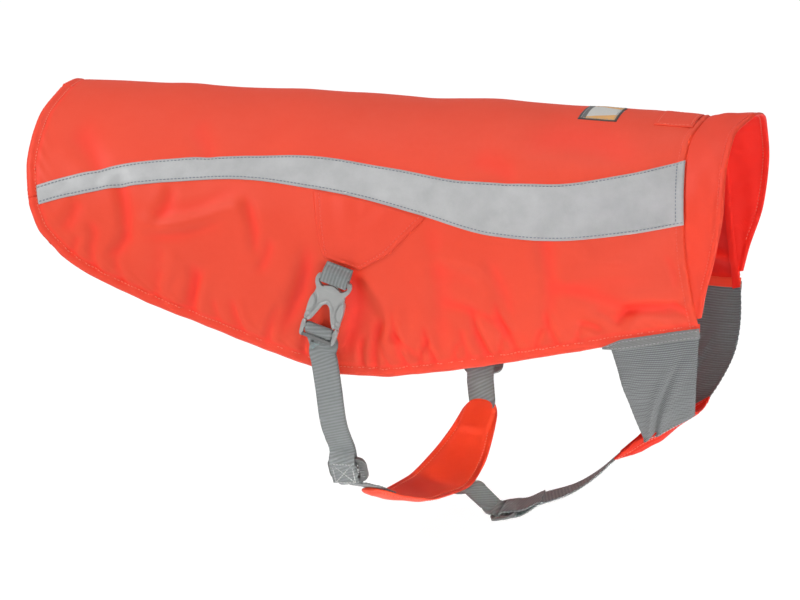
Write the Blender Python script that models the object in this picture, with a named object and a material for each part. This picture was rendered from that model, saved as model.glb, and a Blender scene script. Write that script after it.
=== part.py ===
"""Dog safety vest: a high-visibility shell with a collar, reflective stripes and a strap loop.

The vest keeps the hollow form it has when worn. +X points to the neck, +Z is up and the
origin lies on the spine line, midway along the back. The right side is at -Y.
Sizes are in millimetres and become metres when a mesh is made.
"""
import math

import bmesh
import bpy
from mathutils import Vector

MM = 0.001

# ---- driving sizes -------------------------------------------------------------------
SHELL_WALL = 1.2          # shell cloth
HEM_WALL = 2.6            # shell cloth folded under along the tail edge and the hem
HEM_WIDTH = 7.0
HEM_STEP = 1.0            # width of the step where the folded hem ends
COLLAR_WALL = 1.6
STRIPE_WALL = 1.0
PATCH_WALL = 1.0
LABEL_WALL = 0.8
MESH_WALL = 1.2
STRIP_WALL = 1.6
PAD_WALL = 2.8
WEB_WIDTH = 20.0
WEB_WALL = 1.4
SEAM_GAP = 0.3
BELOW_WIDEST = 75.0       # one turn unit below the widest line of a section
COLUMNS = 34              # columns of the shell grid from tail to neck
BACK_ROWS = 9
SIDE_ROWS = 9

# The body form: an upper half ellipse, and sides that tuck in below it.
FORM_COLUMNS = ("x", "spine_z", "half_width", "drop", "tuck")
FORM = (
    (-250.0, -1.2, 107.0, 80.0, 8.0),
    (-190.0, -0.8, 110.0, 81.0, 8.0),
    (-120.0, 0.0, 113.0, 82.0, 8.0),
    (0.0, 0.0, 117.0, 84.0, 8.0),
    (100.0, 0.0, 114.0, 84.0, 8.0),
    (150.0, 0.0, 109.0, 83.0, 8.0),
    (190.0, 0.0, 99.0, 81.0, 8.0),
    (215.0, -0.5, 88.0, 78.0, 9.0),
    (232.0, -1.0, 80.0, 75.0, 10.0),
    (250.0, -1.0, 75.0, 72.0, 10.0),
)

# Edges and seams drawn on the form as (x, z), tail to neck.
STRIPE_TOP = ((-246, -56), (-216, -46), (-167, -35), (-117, -29), (-44, -25), (12, -28),
              (81, -34), (131, -34), (192, -26), (227.5, -19))
STRIPE_BOTTOM = ((-243, -69), (-215, -60), (-164, -49), (-82, -41), (-33, -44), (2, -48),
                 (45, -56), (100, -68), (136, -70), (197, -65), (232, -60))
HEM = ((-227, -95), (-215, -106), (-176, -126), (-96, -154), (-39, -173), (-14, -179.5),
       (13, -179.5), (43, -175), (116, -161), (177, -148.5), (242, -141))
TAIL_UPPER = ((-247, -1), (-250, -12), (-249.5, -35), (-246, -56))
TAIL_LOWER = ((-243, -69), (-240.5, -75), (-236, -85), (-227, -95))
NECK_UPPER = ((230, -1), (227, -8), (227.5, -19))
NECK_LOWER = ((232, -60), (234, -85), (238, -115), (242, -141))

# The largest folds of the shell: where the middle lies, its slope in degrees from the
# level line, its half length and half width, and its depth (a ridge is negative).
FOLD_COLUMNS = ("x", "z", "slope", "half_length", "half_width", "depth")
FOLDS = (
    (-48.0, -128.0, 68.0, 34.0, 16.0, 2.6),
    (12.0, -132.0, 96.0, 30.0, 13.0, 3.0),
    (34.0, -150.0, 104.0, 24.0, 12.0, -1.6),
    (72.0, -128.0, -30.0, 44.0, 14.0, 1.8),
    (132.0, -112.0, -24.0, 60.0, 16.0, 1.8),
    (190.0, -130.0, 4.0, 34.0, 12.0, 2.2),
    (-172.0, -92.0, 100.0, 28.0, 14.0, 1.6),
    (-112.0, -78.0, 78.0, 22.0, 13.0, 1.2),
)

# The rim of the collar on one side, from the spine to the end of its seam.
RIM_COLUMNS = ("x", "side", "z")
RIM = (
    (266.0, 0.0, 5.0),
    (265.0, 36.0, -3.0),
    (262.0, 61.0, -18.5),
    (260.0, 78.0, -47.0),
    (255.0, 83.0, -82.0),
    (246.5, 74.5, -114.0),
    (243.5, 71.0, -129.0),
)

COLLAR_END = (240.0, -130.0)         # where the collar's seam ends, as (x, z)
COLLAR_ROWS = 4
COLLAR_COLUMNS = 18
COLLAR_BOW = 1.6                     # rise of the collar between its seam and its rim
NECK_STEPS = 24

# The strip between the mesh panels, seen as a shallow channel.
STRIP_COLUMNS = ("x", "edge_z", "half_width", "sag")
CHEST_STRIP = (
    (230.0, -212.0, 22.0, 3.0),
    (215.0, -221.0, 21.5, 6.0),
    (200.0, -229.5, 20.5, 10.0),
    (188.0, -235.0, 18.0, 13.0),
    (178.0, -243.5, 14.5, 9.0),
    (167.0, -254.0, 11.0, 1.5),
)

# The mesh panels: a pair of numbers is for the rear edge and the front edge.
MESH_TOP_X = (182.0, 241.6)
MESH_STRIP_SHARE = (0.58, 0.02)      # where the edges meet the strip
MESH_BULGE = (3.0, 10.0)
MESH_BOW = {"left": 7.0, "right": 1.0}  # how far the front edge bows forward
MESH_OUT = (0.0, 0.8, -0.6)          # the way the left panel faces
STRIP_EDGE_OUT = (0.0, 0.94, -0.81)  # from the strip's edge out to the mesh round it
STRIP_LAP_OUT = (0.0, 0.5, -0.98)    # from the strip's underside out to the mesh lapped on it
STRIP_LAP = 0.8                      # how far out on the strip the mesh's lap ends
BAND_HEIGHT = 8.0                    # binding over the seam between mesh and hem
BAND_WALL = 1.0
BAND_START = 5.0                     # how far the binding's pointed end runs behind the mesh
BAND_LIFT = 0.55                     # share of the binding's height that lies above the hem

# The belly pad, from its near end round under the chest to its far end.
PAD_COLUMNS = ("x", "y", "z", "width")
BELLY_PAD = (
    (-3.0, -61.0, -274.5, 22.0),
    (7.0, -42.0, -284.5, 37.0),
    (17.0, -14.0, -291.0, 49.0),
    (28.0, 16.0, -290.0, 51.0),
    (36.0, 43.0, -280.0, 45.0),
    (42.0, 67.0, -263.0, 34.0),
    (46.0, 88.0, -243.0, 24.0),
)
PAD_CUP = 2.0             # rise of the pad's long edges above its middle
LOOP_CENTRE_Z = -110.0    # level that the strap loop's inner faces look towards

# Side straps: the middle of the doubled webbing from the buckle to the adjuster, the
# adjuster's middle and its direction along the strap, and the share of the pad's length
# where the webbing's end is sewn down.
LAYER_STEP = 1.7          # between the middles of two layers of webbing
RIGHT_STRAP = ((-22.0, -113.5, -168.0), (-20.5, -108.0, -189.0), (-19.5, -99.5, -215.0))
RIGHT_SLIDER = ((-15.5, -80.0, -255.0), (0.10, 0.36, -0.93))
RIGHT_PAD_SHARES = (0.02, 0.12)
LEFT_STRAP = ((-11.5, 117.0, -165.0), (1.0, 116.0, -176.0), (15.0, 114.0, -186.0),
              (28.0, 111.0, -194.0))
LEFT_SLIDER = ((40.5, 101.5, -214.5), (0.12, -0.45, -0.88))
LEFT_PAD_SHARES = (0.98, 0.88)

# Buckle: 20 mm webbing, drawn as half outlines (across, down) from its upper bar.
BUCKLE_TOP = (-12.2, 121.8, -104.6)     # x, distance out to the side, z of the upper bar
SEAM_DOWN = (-0.305, -0.05, -0.951)     # x, outward, z: square to the yoke patch's lower edge
LEFT_DOWN = (0.0, -0.05, -0.999)        # the left buckle swings forward with its strap
SOCKET_WALL = 5.6
PLUG_WALL = 2.8
SOCKET_HALF = ((0.0, -1.6), (11.0, -1.6), (13.0, -0.4), (13.6, 3.0), (12.8, 6.5), (10.6, 9.6),
               (11.2, 13.0), (12.8, 17.0), (13.4, 22.0), (13.2, 28.0), (13.6, 34.6),
               (8.4, 34.6), (5.6, 28.0), (3.0, 21.0), (1.6, 19.2), (0.0, 18.6))
SOCKET_SLOT_HALF = ((0.0, 1.6), (10.6, 1.6), (11.0, 4.0), (7.4, 7.6), (3.6, 5.6), (0.0, 4.4))
PLUG_HALF = ((0.0, 38.4), (10.8, 38.4), (10.8, 34.9), (13.5, 34.9), (13.8, 40.0), (13.3, 46.6),
             (11.8, 48.0), (0.0, 48.0))
PLUG_SLOT_HALF = ((0.0, 41.2), (10.8, 41.2), (10.8, 45.6), (0.0, 45.6))
PLUG_BAR = 39.8
PLUG_WRAP = 2.85          # from the plug's bar to the middle of the webbing round it
TAB_LENGTH = 10.0
TAB_BEND = 2.2            # radius of the tab's webbing at the edges of the upper bar

# Webbing adjusters: a frame with two slots.
SLIDER_WIDTH = 29.6
SLIDER_LENGTH = 20.0
SLIDER_WALL = 2.6
SLIDER_BAR = 3.0
OVER_BAR = SLIDER_WALL / 2 + SEAM_GAP + 0.1 + WEB_WALL / 2
SLIDER_SLOT_WIDTH = 24.8
SLIDER_SHIFT = 2.0        # how far the side adjusters sit off the middle of the webbing
CORNER = 2.4

# Webbing routes as (down, out): in the buckle's frame, then in the adjuster's frame.
STRAP_STATIONS = 9
STRAP_HASTE = 0.35        # the webbing turns level soon after it leaves the buckle
STRAP_ASIDE = 2.6         # how far forward of the buckle's middle it leaves
UP_THROUGH_PLUG = ((50.0, -2.85), (47.5, -2.85), (45.2, -2.2), (43.6, 0.0), (42.0, 2.0))
DOWN_BEHIND_PLUG = ((43.2, -3.6), (45.4, -4.3), (47.5, -4.6), (50.0, -4.6))
SEWN_END = ((9.5, 3.9), (0.0, 4.1), (-8.0, 4.0), (-10.8, 2.4))
INTO_SLIDER = ((-17.0, -2.3), (-14.0, -1.3))
OVER_SLIDER_BAR = ((-14.0, -3.1), (-8.5, -2.4), (-6.0, -2.3), (-2.5, 2.2), (-1.0, 2.4), (1.0, 2.4),
                   (2.5, 2.2), (6.0, -2.3), (8.5, -2.4), (12.0, -2.6), (14.5, -3.4))

# Webbing from the chest strip back to the belly pad.
CHEST_SLIDER = ((84.0, 3.0, -301.0), (-0.95, 0.16, -0.24))
CHEST_PAD_SHARE = 0.54    # where the webbing is sewn under the pad's front edge
CHEST_WEB_FRONT = ((112.0, 1.0, -290.0), (133.0, 0.0, -281.5), (152.0, 0.0, -268.5),
                   (160.0, 0.0, -261.0), (166.3, 0.0, -254.9))
CHEST_FREE_END = 108.0    # x of the webbing's loose end
CHEST_TWIST = (0.0, 0.96, 0.22)

# Small pieces on the back, as their half width along the girth and their ends along x.
LABEL = {"x": (140.0, 168.5), "half": 19.0}
LEASH_PATCH = {"x": (196.0, 225.0), "half": 20.0}
YOKE = {"top_x": (-33.0, 51.0), "bottom": ((-22.2, -89.5), (3.3, -98.6))}

# ---- colours: name -> (red, green, blue, roughness, metallic) ------------------------
FINISHES = {
    "shell_cloth": (0.86, 0.085, 0.035, 0.62, 0.0),
    "stripe_film": (0.48, 0.50, 0.51, 0.38, 0.0),
    "mesh_knit": (0.20, 0.205, 0.205, 0.72, 0.0),
    "webbing": (0.21, 0.215, 0.21, 0.70, 0.0),
    "buckle_plastic": (0.33, 0.335, 0.33, 0.42, 0.0),
    "label_cloth": (0.52, 0.50, 0.42, 0.70, 0.0),
}


# ---- helpers: numbers and curves ------------------------------------------------------
def smooth(values, parameters, at):
    """Monotone cubic through values, each at its parameter."""
    last = len(values) - 1
    at = min(max(at, parameters[0]), parameters[last])
    steps = [parameters[i + 1] - parameters[i] for i in range(last)]
    rises = [(values[i + 1] - values[i]) / steps[i] for i in range(last)]
    slopes = [rises[0]] + [0.0] * (last - 1) + [rises[-1]]
    for i in range(1, last):
        if rises[i - 1] * rises[i] > 0.0:
            before = 2.0 * steps[i] + steps[i - 1]
            after = steps[i] + 2.0 * steps[i - 1]
            slopes[i] = (before + after) / (before / rises[i - 1] + after / rises[i])
    i = 0
    while i < last - 1 and at > parameters[i + 1]:
        i += 1
    t = (at - parameters[i]) / steps[i]
    start = (2 * t ** 3 - 3 * t ** 2 + 1) * values[i] + (t ** 3 - 2 * t ** 2 + t) * steps[i] * slopes[i]
    end = (3 * t ** 2 - 2 * t ** 3) * values[i + 1] + (t ** 3 - t ** 2) * steps[i] * slopes[i + 1]
    return start + end


def chord_lengths(points):
    lengths = [0.0]
    for first, second in zip(points, points[1:]):
        lengths.append(lengths[-1] + math.dist(first, second))
    return lengths


def along(points, share):
    """Point at a share of the length of a smooth curve through the points."""
    lengths = chord_lengths(points)
    at = share * lengths[-1]
    axes = range(len(points[0]))
    return tuple(smooth([p[axis] for p in points], lengths, at) for axis in axes)


def column_of(table, columns, name):
    index = columns.index(name)
    return [row[index] for row in table]


def read_row(table, columns, share):
    """All columns of a table at a share of its length, keyed by name."""
    values = along(table, share)
    return dict(zip(columns, values))


# ---- the body form --------------------------------------------------------------------
def section(x):
    stations = column_of(FORM, FORM_COLUMNS, "x")
    names = FORM_COLUMNS[1:]
    return {name: smooth(column_of(FORM, FORM_COLUMNS, name), stations, x) for name in names}


def turn_at(x, z):
    """Turn of the section at a level: 0 on the spine, 1 at the widest line."""
    size = section(x)
    below = size["spine_z"] - z
    if below < size["drop"]:
        return math.acos(min(1.0, 1.0 - below / size["drop"])) / (math.pi / 2)
    return 1.0 + (below - size["drop"]) / BELOW_WIDEST


def bare_point(x, turn):
    """Point of the smooth form at the +Y side for a positive turn."""
    size = section(x)
    side = 1.0 if turn >= 0 else -1.0
    turn = abs(turn)
    if turn < 1.0:
        angle = turn * math.pi / 2
        y = size["half_width"] * math.sin(angle)
        z = size["spine_z"] - size["drop"] * (1.0 - math.cos(angle))
    else:
        y = size["half_width"] - size["tuck"] * (turn - 1.0) ** 2
        z = size["spine_z"] - size["drop"] - BELOW_WIDEST * (turn - 1.0)
    return Vector((x, side * y, z))


def form_normal(x, turn):
    forward = bare_point(x + 2.0, turn) - bare_point(x - 2.0, turn)
    girth = bare_point(x, turn + 0.02) - bare_point(x, turn - 0.02)
    normal = forward.cross(girth)
    normal.normalize()
    outward = bare_point(x, turn) - Vector((x, 0.0, section(x)["spine_z"] - 90.0))
    return normal if normal.dot(outward) > 0 else -normal


def fold_depth(x, z):
    depth = 0.0
    for row in FOLDS:
        fold = dict(zip(FOLD_COLUMNS, row))
        slope = math.radians(fold["slope"])
        run_x = x - fold["x"]
        run_z = z - fold["z"]
        length = run_x * math.cos(slope) + run_z * math.sin(slope)
        width = run_z * math.cos(slope) - run_x * math.sin(slope)
        reach = (length / fold["half_length"]) ** 2 + (width / fold["half_width"]) ** 2
        depth += fold["depth"] * math.exp(-1.5 * reach)
    return depth


def cloth_point(x, turn, out=0.0):
    """Point of the shell's outer face, moved out by a distance."""
    place = bare_point(x, turn)
    sink = fold_depth(x, place.z)
    return place + form_normal(x, turn) * (out - sink)


# ---- rows and columns of the shell ----------------------------------------------------
def seam_line():
    """The shell's seam, hidden midway under the stripe."""
    share_count = len(STRIPE_TOP)
    line = []
    for index in range(share_count):
        share = index / (share_count - 1)
        top = along(STRIPE_TOP, share)
        bottom = along(STRIPE_BOTTOM, share)
        line.append(((top[0] + bottom[0]) / 2, (top[1] + bottom[1]) / 2))
    return tuple(line)


def on_line(line, share):
    """(x, turn) at a share of a line drawn on the form."""
    x, z = along(line, share)
    return x, turn_at(x, z)


def spine_line(share):
    first = TAIL_UPPER[0][0]
    last = NECK_UPPER[0][0]
    return first + (last - first) * share, 0.0


def column_shares(length):
    """Shares of a row's length: the tail hem, its step and then even columns."""
    hem = HEM_WIDTH / length
    step = (HEM_WIDTH + HEM_STEP) / length
    even = [step + (1.0 - step) * i / (COLUMNS - 2) for i in range(COLUMNS - 1)]
    return [0.0, hem] + even


def mix(first, second, share):
    return tuple(a + (b - a) * share for a, b in zip(first, second))


def coons(top, bottom, tail, neck, across, down):
    """Point of a patch between four edges; across and down run from 0 to 1."""
    corners = mix(mix(top(0.0), top(1.0), across), mix(bottom(0.0), bottom(1.0), across), down)
    level = mix(top(across), bottom(across), down)
    upright = mix(tail(down), neck(down), across)
    return tuple(a + b - c for a, b, c in zip(level, upright, corners))


def upper_place(across, down):
    """(x, turn) between the spine and the stripe's top edge. The end edges are read at a
    squared share, because the level falls with the square of the turn near the spine."""
    return coons(spine_line, lambda s: on_line(STRIPE_TOP, s), lambda s: on_line(TAIL_UPPER, s * s),
                 lambda s: on_line(NECK_UPPER, s * s), across, down)


def lower_place(across, down):
    """(x, turn) between the stripe's bottom edge and the hem."""
    return coons(lambda s: on_line(STRIPE_BOTTOM, s), lambda s: on_line(HEM, s),
                 lambda s: on_line(TAIL_LOWER, s), lambda s: on_line(NECK_LOWER, s), across, down)


# ---- helpers: meshes ------------------------------------------------------------------
def finish(name):
    """The shared material of a finish."""
    if name in bpy.data.materials:
        return bpy.data.materials[name]
    red, green, blue, roughness, metallic = FINISHES[name]
    material = bpy.data.materials.new(name)
    material.use_nodes = True
    shader = material.node_tree.nodes["Principled BSDF"]
    shader.inputs["Base Color"].default_value = (red, green, blue, 1.0)
    shader.inputs["Roughness"].default_value = roughness
    shader.inputs["Metallic"].default_value = metallic
    return material


def add_object(name, work, finish_name):
    """Make an object from a bmesh drawn in millimetres."""
    bmesh.ops.remove_doubles(work, verts=work.verts[:], dist=0.001)
    bmesh.ops.recalc_face_normals(work, faces=work.faces[:])
    if work.calc_volume(signed=True) < 0.0:
        bmesh.ops.reverse_faces(work, faces=work.faces[:])
    bmesh.ops.scale(work, vec=(MM, MM, MM), verts=work.verts[:])
    mesh = bpy.data.meshes.new(name)
    work.to_mesh(mesh)
    work.free()
    material = finish(finish_name).copy()
    material.name = name + "_finish"
    mesh.materials.append(material)
    mesh.shade_smooth()
    mesh.set_sharp_from_angle(angle=math.radians(40.0))
    body = bpy.data.objects.new(name, mesh)
    bpy.context.scene.collection.objects.link(body)
    return body


def closed_wall(name, outer, inner, finish_name):
    """A closed wall between two grids of points with the same rows and columns."""
    work = bmesh.new()
    rows = len(outer)
    columns = len(outer[0])
    out = [[work.verts.new(p) for p in row] for row in outer]
    inn = [[work.verts.new(p) for p in row] for row in inner]
    for r in range(rows - 1):
        for c in range(columns - 1):
            falls = outer[r][c][2] > outer[r + 1][c][2]
            for grid in (out, inn):
                a, b = grid[r][c], grid[r][c + 1]
                d, e = grid[r + 1][c], grid[r + 1][c + 1]
                halves = ((a, b, e), (a, e, d)) if falls else ((a, b, d), (b, e, d))
                for half in halves:
                    work.faces.new(half if grid is out else half[::-1])
    border = [(0, c) for c in range(columns)]
    border += [(r, columns - 1) for r in range(1, rows)]
    border += [(rows - 1, c) for c in range(columns - 2, -1, -1)]
    border += [(r, 0) for r in range(rows - 2, 0, -1)]
    for here, after in zip(border, border[1:] + border[:1]):
        r, c = here
        r2, c2 = after
        work.faces.new((out[r][c], inn[r][c], inn[r2][c2], out[r2][c2]))
    return add_object(name, work, finish_name)


def grid_normals(grid, outward):
    """Unit normals of a grid of points, turned to the side of outward(point)."""
    rows = len(grid)
    columns = len(grid[0])
    normals = []
    for r in range(rows):
        line = []
        for c in range(columns):
            down = grid[min(r + 1, rows - 1)][c] - grid[max(r - 1, 0)][c]
            across = grid[r][min(c + 1, columns - 1)] - grid[r][max(c - 1, 0)]
            normal = down.cross(across)
            normal.normalize()
            line.append(normal if normal.dot(outward(grid[r][c])) > 0 else -normal)
        normals.append(line)
    return normals


def moved(grid, normals, distance):
    return [[p + n * distance for p, n in zip(row, line)] for row, line in zip(grid, normals)]


def wall_from_grid(name, grid, thickness, outward, finish_name):
    """A wall whose outer face is the grid."""
    normals = grid_normals(grid, outward)
    return closed_wall(name, grid, moved(grid, normals, -thickness), finish_name)


def smooth_route(points, count):
    return [Vector(along(points, i / (count - 1))) for i in range(count)]


# ---- shell ----------------------------------------------------------------------------
def row_length(line):
    return chord_lengths(line)[-1]


def stripe_rows(shares):
    """(x, turn) rows under the left stripe: its top edge, midway, the seam, its lower edge."""
    top, seam, bottom = [[on_line(line, share) for share in shares]
                         for line in (STRIPE_TOP, seam_line(), STRIPE_BOTTOM)]
    midway = [mix(first, second, 0.5) for first, second in zip(top, seam)]
    return [top, midway, seam, bottom]


def back_grid():
    """(x, turn) rows of the back panel from the left seam over the spine to the right seam."""
    shares = column_shares(row_length(STRIPE_TOP))
    half = [[upper_place(share, row / BACK_ROWS) for share in shares] for row in range(BACK_ROWS + 1)]
    half += stripe_rows(shares)[1:3]
    left = [[(x, turn) for x, turn in row] for row in reversed(half[1:])]
    right = [[(x, -turn) for x, turn in row] for row in half]
    return left + right


def side_grid():
    """(x, turn) rows of the left side panel from its seam to the hem."""
    shares = column_shares(row_length(STRIPE_BOTTOM))
    rows = stripe_rows(shares)[2:]
    heights = [math.dist(along(STRIPE_BOTTOM, share), along(HEM, share)) for share in shares]
    folded = [1.0 - HEM_WIDTH / height for height in heights]
    thin = [1.0 - (HEM_WIDTH + HEM_STEP) / height for height in heights]
    for row in range(1, SIDE_ROWS):
        down = row / (SIDE_ROWS - 1)
        rows.append([lower_place(share, reach * down) for share, reach in zip(shares, thin)])
    rows.append([lower_place(share, reach) for share, reach in zip(shares, folded)])
    rows.append([lower_place(share, 1.0) for share in shares])
    return rows


def shell_wall(name, places, hem_rows):
    """A shell panel whose wall is thicker along the tail hem and its last hem rows."""
    outer = [[cloth_point(x, turn) for x, turn in row] for row in places]
    inner = []
    for r, row in enumerate(places):
        in_hem = r >= len(places) - hem_rows
        line = []
        for c, (x, turn) in enumerate(row):
            wall = HEM_WALL if in_hem or c < 2 else SHELL_WALL
            line.append(cloth_point(x, turn, -wall))
        inner.append(line)
    return closed_wall(name, outer, inner, "shell_cloth")


def lower_edge(places, distance):
    """Move the first row of a grid down the girth by a distance."""
    gap = distance / BELOW_WIDEST
    return [[(x, turn + gap) for x, turn in places[0]]] + places[1:]


def build_shell():
    shell_wall("back_panel", back_grid(), 0)
    left = lower_edge(side_grid(), SEAM_GAP)
    right = [[(x, -turn) for x, turn in row] for row in left]
    shell_wall("side_panel_left", left, 2)
    shell_wall("side_panel_right", right, 2)


def build_stripes():
    shares = column_shares(row_length(STRIPE_TOP))[1:]
    shares[-1] = 1.0 - SEAM_GAP / row_length(STRIPE_TOP)
    rows = stripe_rows(shares)
    for side, name in ((1, "stripe_left"), (-1, "stripe_right")):
        outer = [[cloth_point(x, side * t, SEAM_GAP + STRIPE_WALL) for x, t in row] for row in rows]
        inner = [[cloth_point(x, side * t, SEAM_GAP) for x, t in row] for row in rows]
        closed_wall(name, outer, inner, "stripe_film")


def share_at_x(line, x):
    """Share of a line's length where it reaches x."""
    low = 0.0
    high = 1.0
    for _ in range(30):
        middle = (low + high) / 2
        if along(line, middle)[0] < x:
            low = middle
        else:
            high = middle
    return (low + high) / 2


def build_yoke_patches():
    first = share_at_x(STRIPE_BOTTOM, YOKE["top_x"][0])
    last = share_at_x(STRIPE_BOTTOM, YOKE["top_x"][1])
    corner_tail, corner_neck = [(x, turn_at(x, z)) for x, z in YOKE["bottom"]]
    gap = 2 * SEAM_GAP / BELOW_WIDEST

    def top(share):
        x, turn = on_line(STRIPE_BOTTOM, first + (last - first) * share)
        return x, turn + gap

    def bottom(share):
        return mix(corner_tail, corner_neck, share)

    def tail(share):
        return mix(top(0.0), corner_tail, share)

    def neck(share):
        return mix(top(1.0), corner_neck, share)

    across = 9
    down = 7
    for side, name in ((1, "yoke_patch_left"), (-1, "yoke_patch_right")):
        rows = [[coons(top, bottom, tail, neck, c / across, r / down) for c in range(across + 1)]
                for r in range(down + 1)]
        outer = [[cloth_point(x, side * t, SEAM_GAP + PATCH_WALL) for x, t in row] for row in rows]
        inner = [[cloth_point(x, side * t, SEAM_GAP) for x, t in row] for row in rows]
        closed_wall(name, outer, inner, "shell_cloth")


def build_spine_pieces():
    """The label and the leash patch, both lying across the spine."""
    pieces = (("spine_label", LABEL, "label_cloth", LABEL_WALL),
              ("leash_patch", LEASH_PATCH, "shell_cloth", PATCH_WALL))
    for name, size, finish_name, wall in pieces:
        first, last = size["x"]
        across = 4
        down = 6
        rows = []
        for r in range(down + 1):
            line = []
            for c in range(across + 1):
                x = first + (last - first) * c / across
                reach = size["half"] / section(x)["half_width"] / (math.pi / 2)
                line.append((x, reach * (2.0 * r / down - 1.0)))
            rows.append(line)
        outer = [[cloth_point(x, t, SEAM_GAP + wall) for x, t in row] for row in rows]
        inner = [[cloth_point(x, t, SEAM_GAP) for x, t in row] for row in rows]
        closed_wall(name, outer, inner, finish_name)


# ---- collar ---------------------------------------------------------------------------
def neck_line():
    """The neck edge of the shell on one side, spine to the collar's end, as (x, z)."""
    return NECK_UPPER + (seam_line()[-1],) + NECK_LOWER[:3] + (COLLAR_END,)


def neck_stations():
    """Points of the neck edge as (x, y, z, turn), close together near the spine."""
    line = neck_line()
    stations = []
    for step in range(NECK_STEPS + 1):
        x, z = along(line, (step / NECK_STEPS) ** 2)
        turn = turn_at(x, z)
        stations.append(tuple(bare_point(x, turn)) + (turn,))
    return stations


def build_collar():
    """A crescent from the neck seam out to its rim, closed over the spine."""
    stations = neck_stations()
    outer = [[] for _ in range(COLLAR_ROWS + 1)]
    inner = [[] for _ in range(COLLAR_ROWS + 1)]
    for c in range(COLLAR_COLUMNS + 1):
        share = c / COLLAR_COLUMNS
        lengths = chord_lengths([station[:3] for station in stations])
        x, _, _, turn = (smooth([station[axis] for station in stations], lengths, share * lengths[-1])
                         for axis in range(4))
        foot = bare_point(x + SEAM_GAP, turn)
        rim = Vector(along(RIM, share))
        into_shell = -form_normal(x, turn)
        slope = (rim - foot).normalized()
        girth = Vector(along(RIM, min(share + 0.02, 1.0))) - Vector(along(RIM, max(share - 0.02, 0.0)))
        into_collar = slope.cross(girth).normalized()
        if into_collar.dot(into_shell) < 0.0:
            into_collar = -into_collar
        for r in range(COLLAR_ROWS + 1):
            reach = r / COLLAR_ROWS
            bow = COLLAR_BOW * math.sin(math.pi * reach) * (1.0 - share)
            point = foot.lerp(rim, reach) - into_collar * bow
            depth = into_shell.lerp(into_collar, min(1.0, 2.0 * reach)).normalized() * COLLAR_WALL
            outer[r].append(point)
            inner[r].append(point + depth)
    flip = Vector((1.0, -1.0, 1.0))
    outer = [[p * flip for p in reversed(row[1:])] + row for row in outer]
    inner = [[p * flip for p in reversed(row[1:])] + row for row in inner]
    closed_wall("collar", outer, inner, "shell_cloth")


# ---- chest: mesh panels, their bindings and the strip between them ----------------------
def strip_point(share, across):
    row = read_row(CHEST_STRIP, STRIP_COLUMNS, share)
    y = row["half_width"] * across
    z = row["edge_z"] - row["sag"] * (1.0 - across * across)
    return Vector((row["x"], y, z))


def build_chest_strip():
    columns = 10
    rows = 8
    grid = []
    for r in range(rows + 1):
        across = 2.0 * r / rows - 1.0
        grid.append([strip_point(c / columns, across) for c in range(columns + 1)])
    outward = lambda p: Vector((0.0, 0.0, -1.0))
    wall_from_grid("chest_strip", grid, STRIP_WALL, outward, "shell_cloth")


def build_chest_mesh():
    columns = 8
    rows = 7
    clear = SEAM_GAP + MESH_WALL
    for side, end in ((1, "left"), (-1, "right")):
        grid = []
        for r in range(rows + 3):
            line = []
            for c in range(columns + 1):
                share = c / columns
                x = MESH_TOP_X[0] + (MESH_TOP_X[1] - MESH_TOP_X[0]) * share
                hem_z = along(HEM, share_at_x(HEM, x))[1]
                top = bare_point(x, turn_at(x, hem_z - 2 * SEAM_GAP))
                on_strip = MESH_STRIP_SHARE[0] + (MESH_STRIP_SHARE[1] - MESH_STRIP_SHARE[0]) * share
                edge = strip_point(on_strip, 1.0) + Vector(STRIP_EDGE_OUT) * clear
                lap = strip_point(on_strip, STRIP_LAP) + Vector(STRIP_LAP_OUT) * clear
                if r <= rows:
                    reach = r / rows
                    fullness = MESH_BULGE[0] + (MESH_BULGE[1] - MESH_BULGE[0]) * share
                    bulge = fullness * math.sin(math.pi * reach ** 0.9)
                    point = top.lerp(edge, reach) + Vector(MESH_OUT) * bulge
                    point.x += MESH_BOW[end] * share ** 2 * math.sin(math.pi * reach)
                elif r == rows + 1:
                    point = edge.lerp(lap, 0.5)
                else:
                    point = lap
                line.append(Vector((point.x, side * point.y, point.z)))
            grid.append(line)
        outward = lambda p, side=side: Vector((0.0, side * MESH_OUT[1], MESH_OUT[2]))
        wall_from_grid("chest_mesh_" + end, grid, MESH_WALL, outward, "mesh_knit")


def build_mesh_bands():
    columns = 8
    rows = 2
    first = MESH_TOP_X[0] - BAND_START
    last = MESH_TOP_X[1]
    for side, end in ((1, "left"), (-1, "right")):
        places = []
        for r in range(rows + 1):
            line = []
            for c in range(columns + 1):
                share = c / columns
                x = first + (last - first) * share
                hem_z = along(HEM, share_at_x(HEM, x))[1]
                taper = min(1.0, 0.25 + 4.0 * share)
                z = hem_z + BAND_HEIGHT * (BAND_LIFT - r / rows) * taper
                line.append((x, side * turn_at(x, z)))
            places.append(line)
        outer = [[cloth_point(x, t, 2 * SEAM_GAP + BAND_WALL) for x, t in row] for row in places]
        inner = [[cloth_point(x, t, 2 * SEAM_GAP) for x, t in row] for row in places]
        closed_wall("mesh_band_" + end, outer, inner, "mesh_knit")


# ---- belly pad ------------------------------------------------------------------------
def towards_loop(place):
    return Vector((0.0, -place.y, LOOP_CENTRE_Z - place.z)).normalized()


def pad_frame(share):
    """Middle point, width direction and inward direction of the pad."""
    row = read_row(BELLY_PAD, PAD_COLUMNS, share)
    place = Vector((row["x"], row["y"], row["z"]))
    ahead = Vector(along(BELLY_PAD, min(share + 0.01, 1.0))[:3])
    behind = Vector(along(BELLY_PAD, max(share - 0.01, 0.0))[:3])
    run = (ahead - behind).normalized()
    wide = run.cross(towards_loop(place)).normalized()
    inward = wide.cross(run).normalized()
    return place, wide * row["width"] / 2, inward


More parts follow.
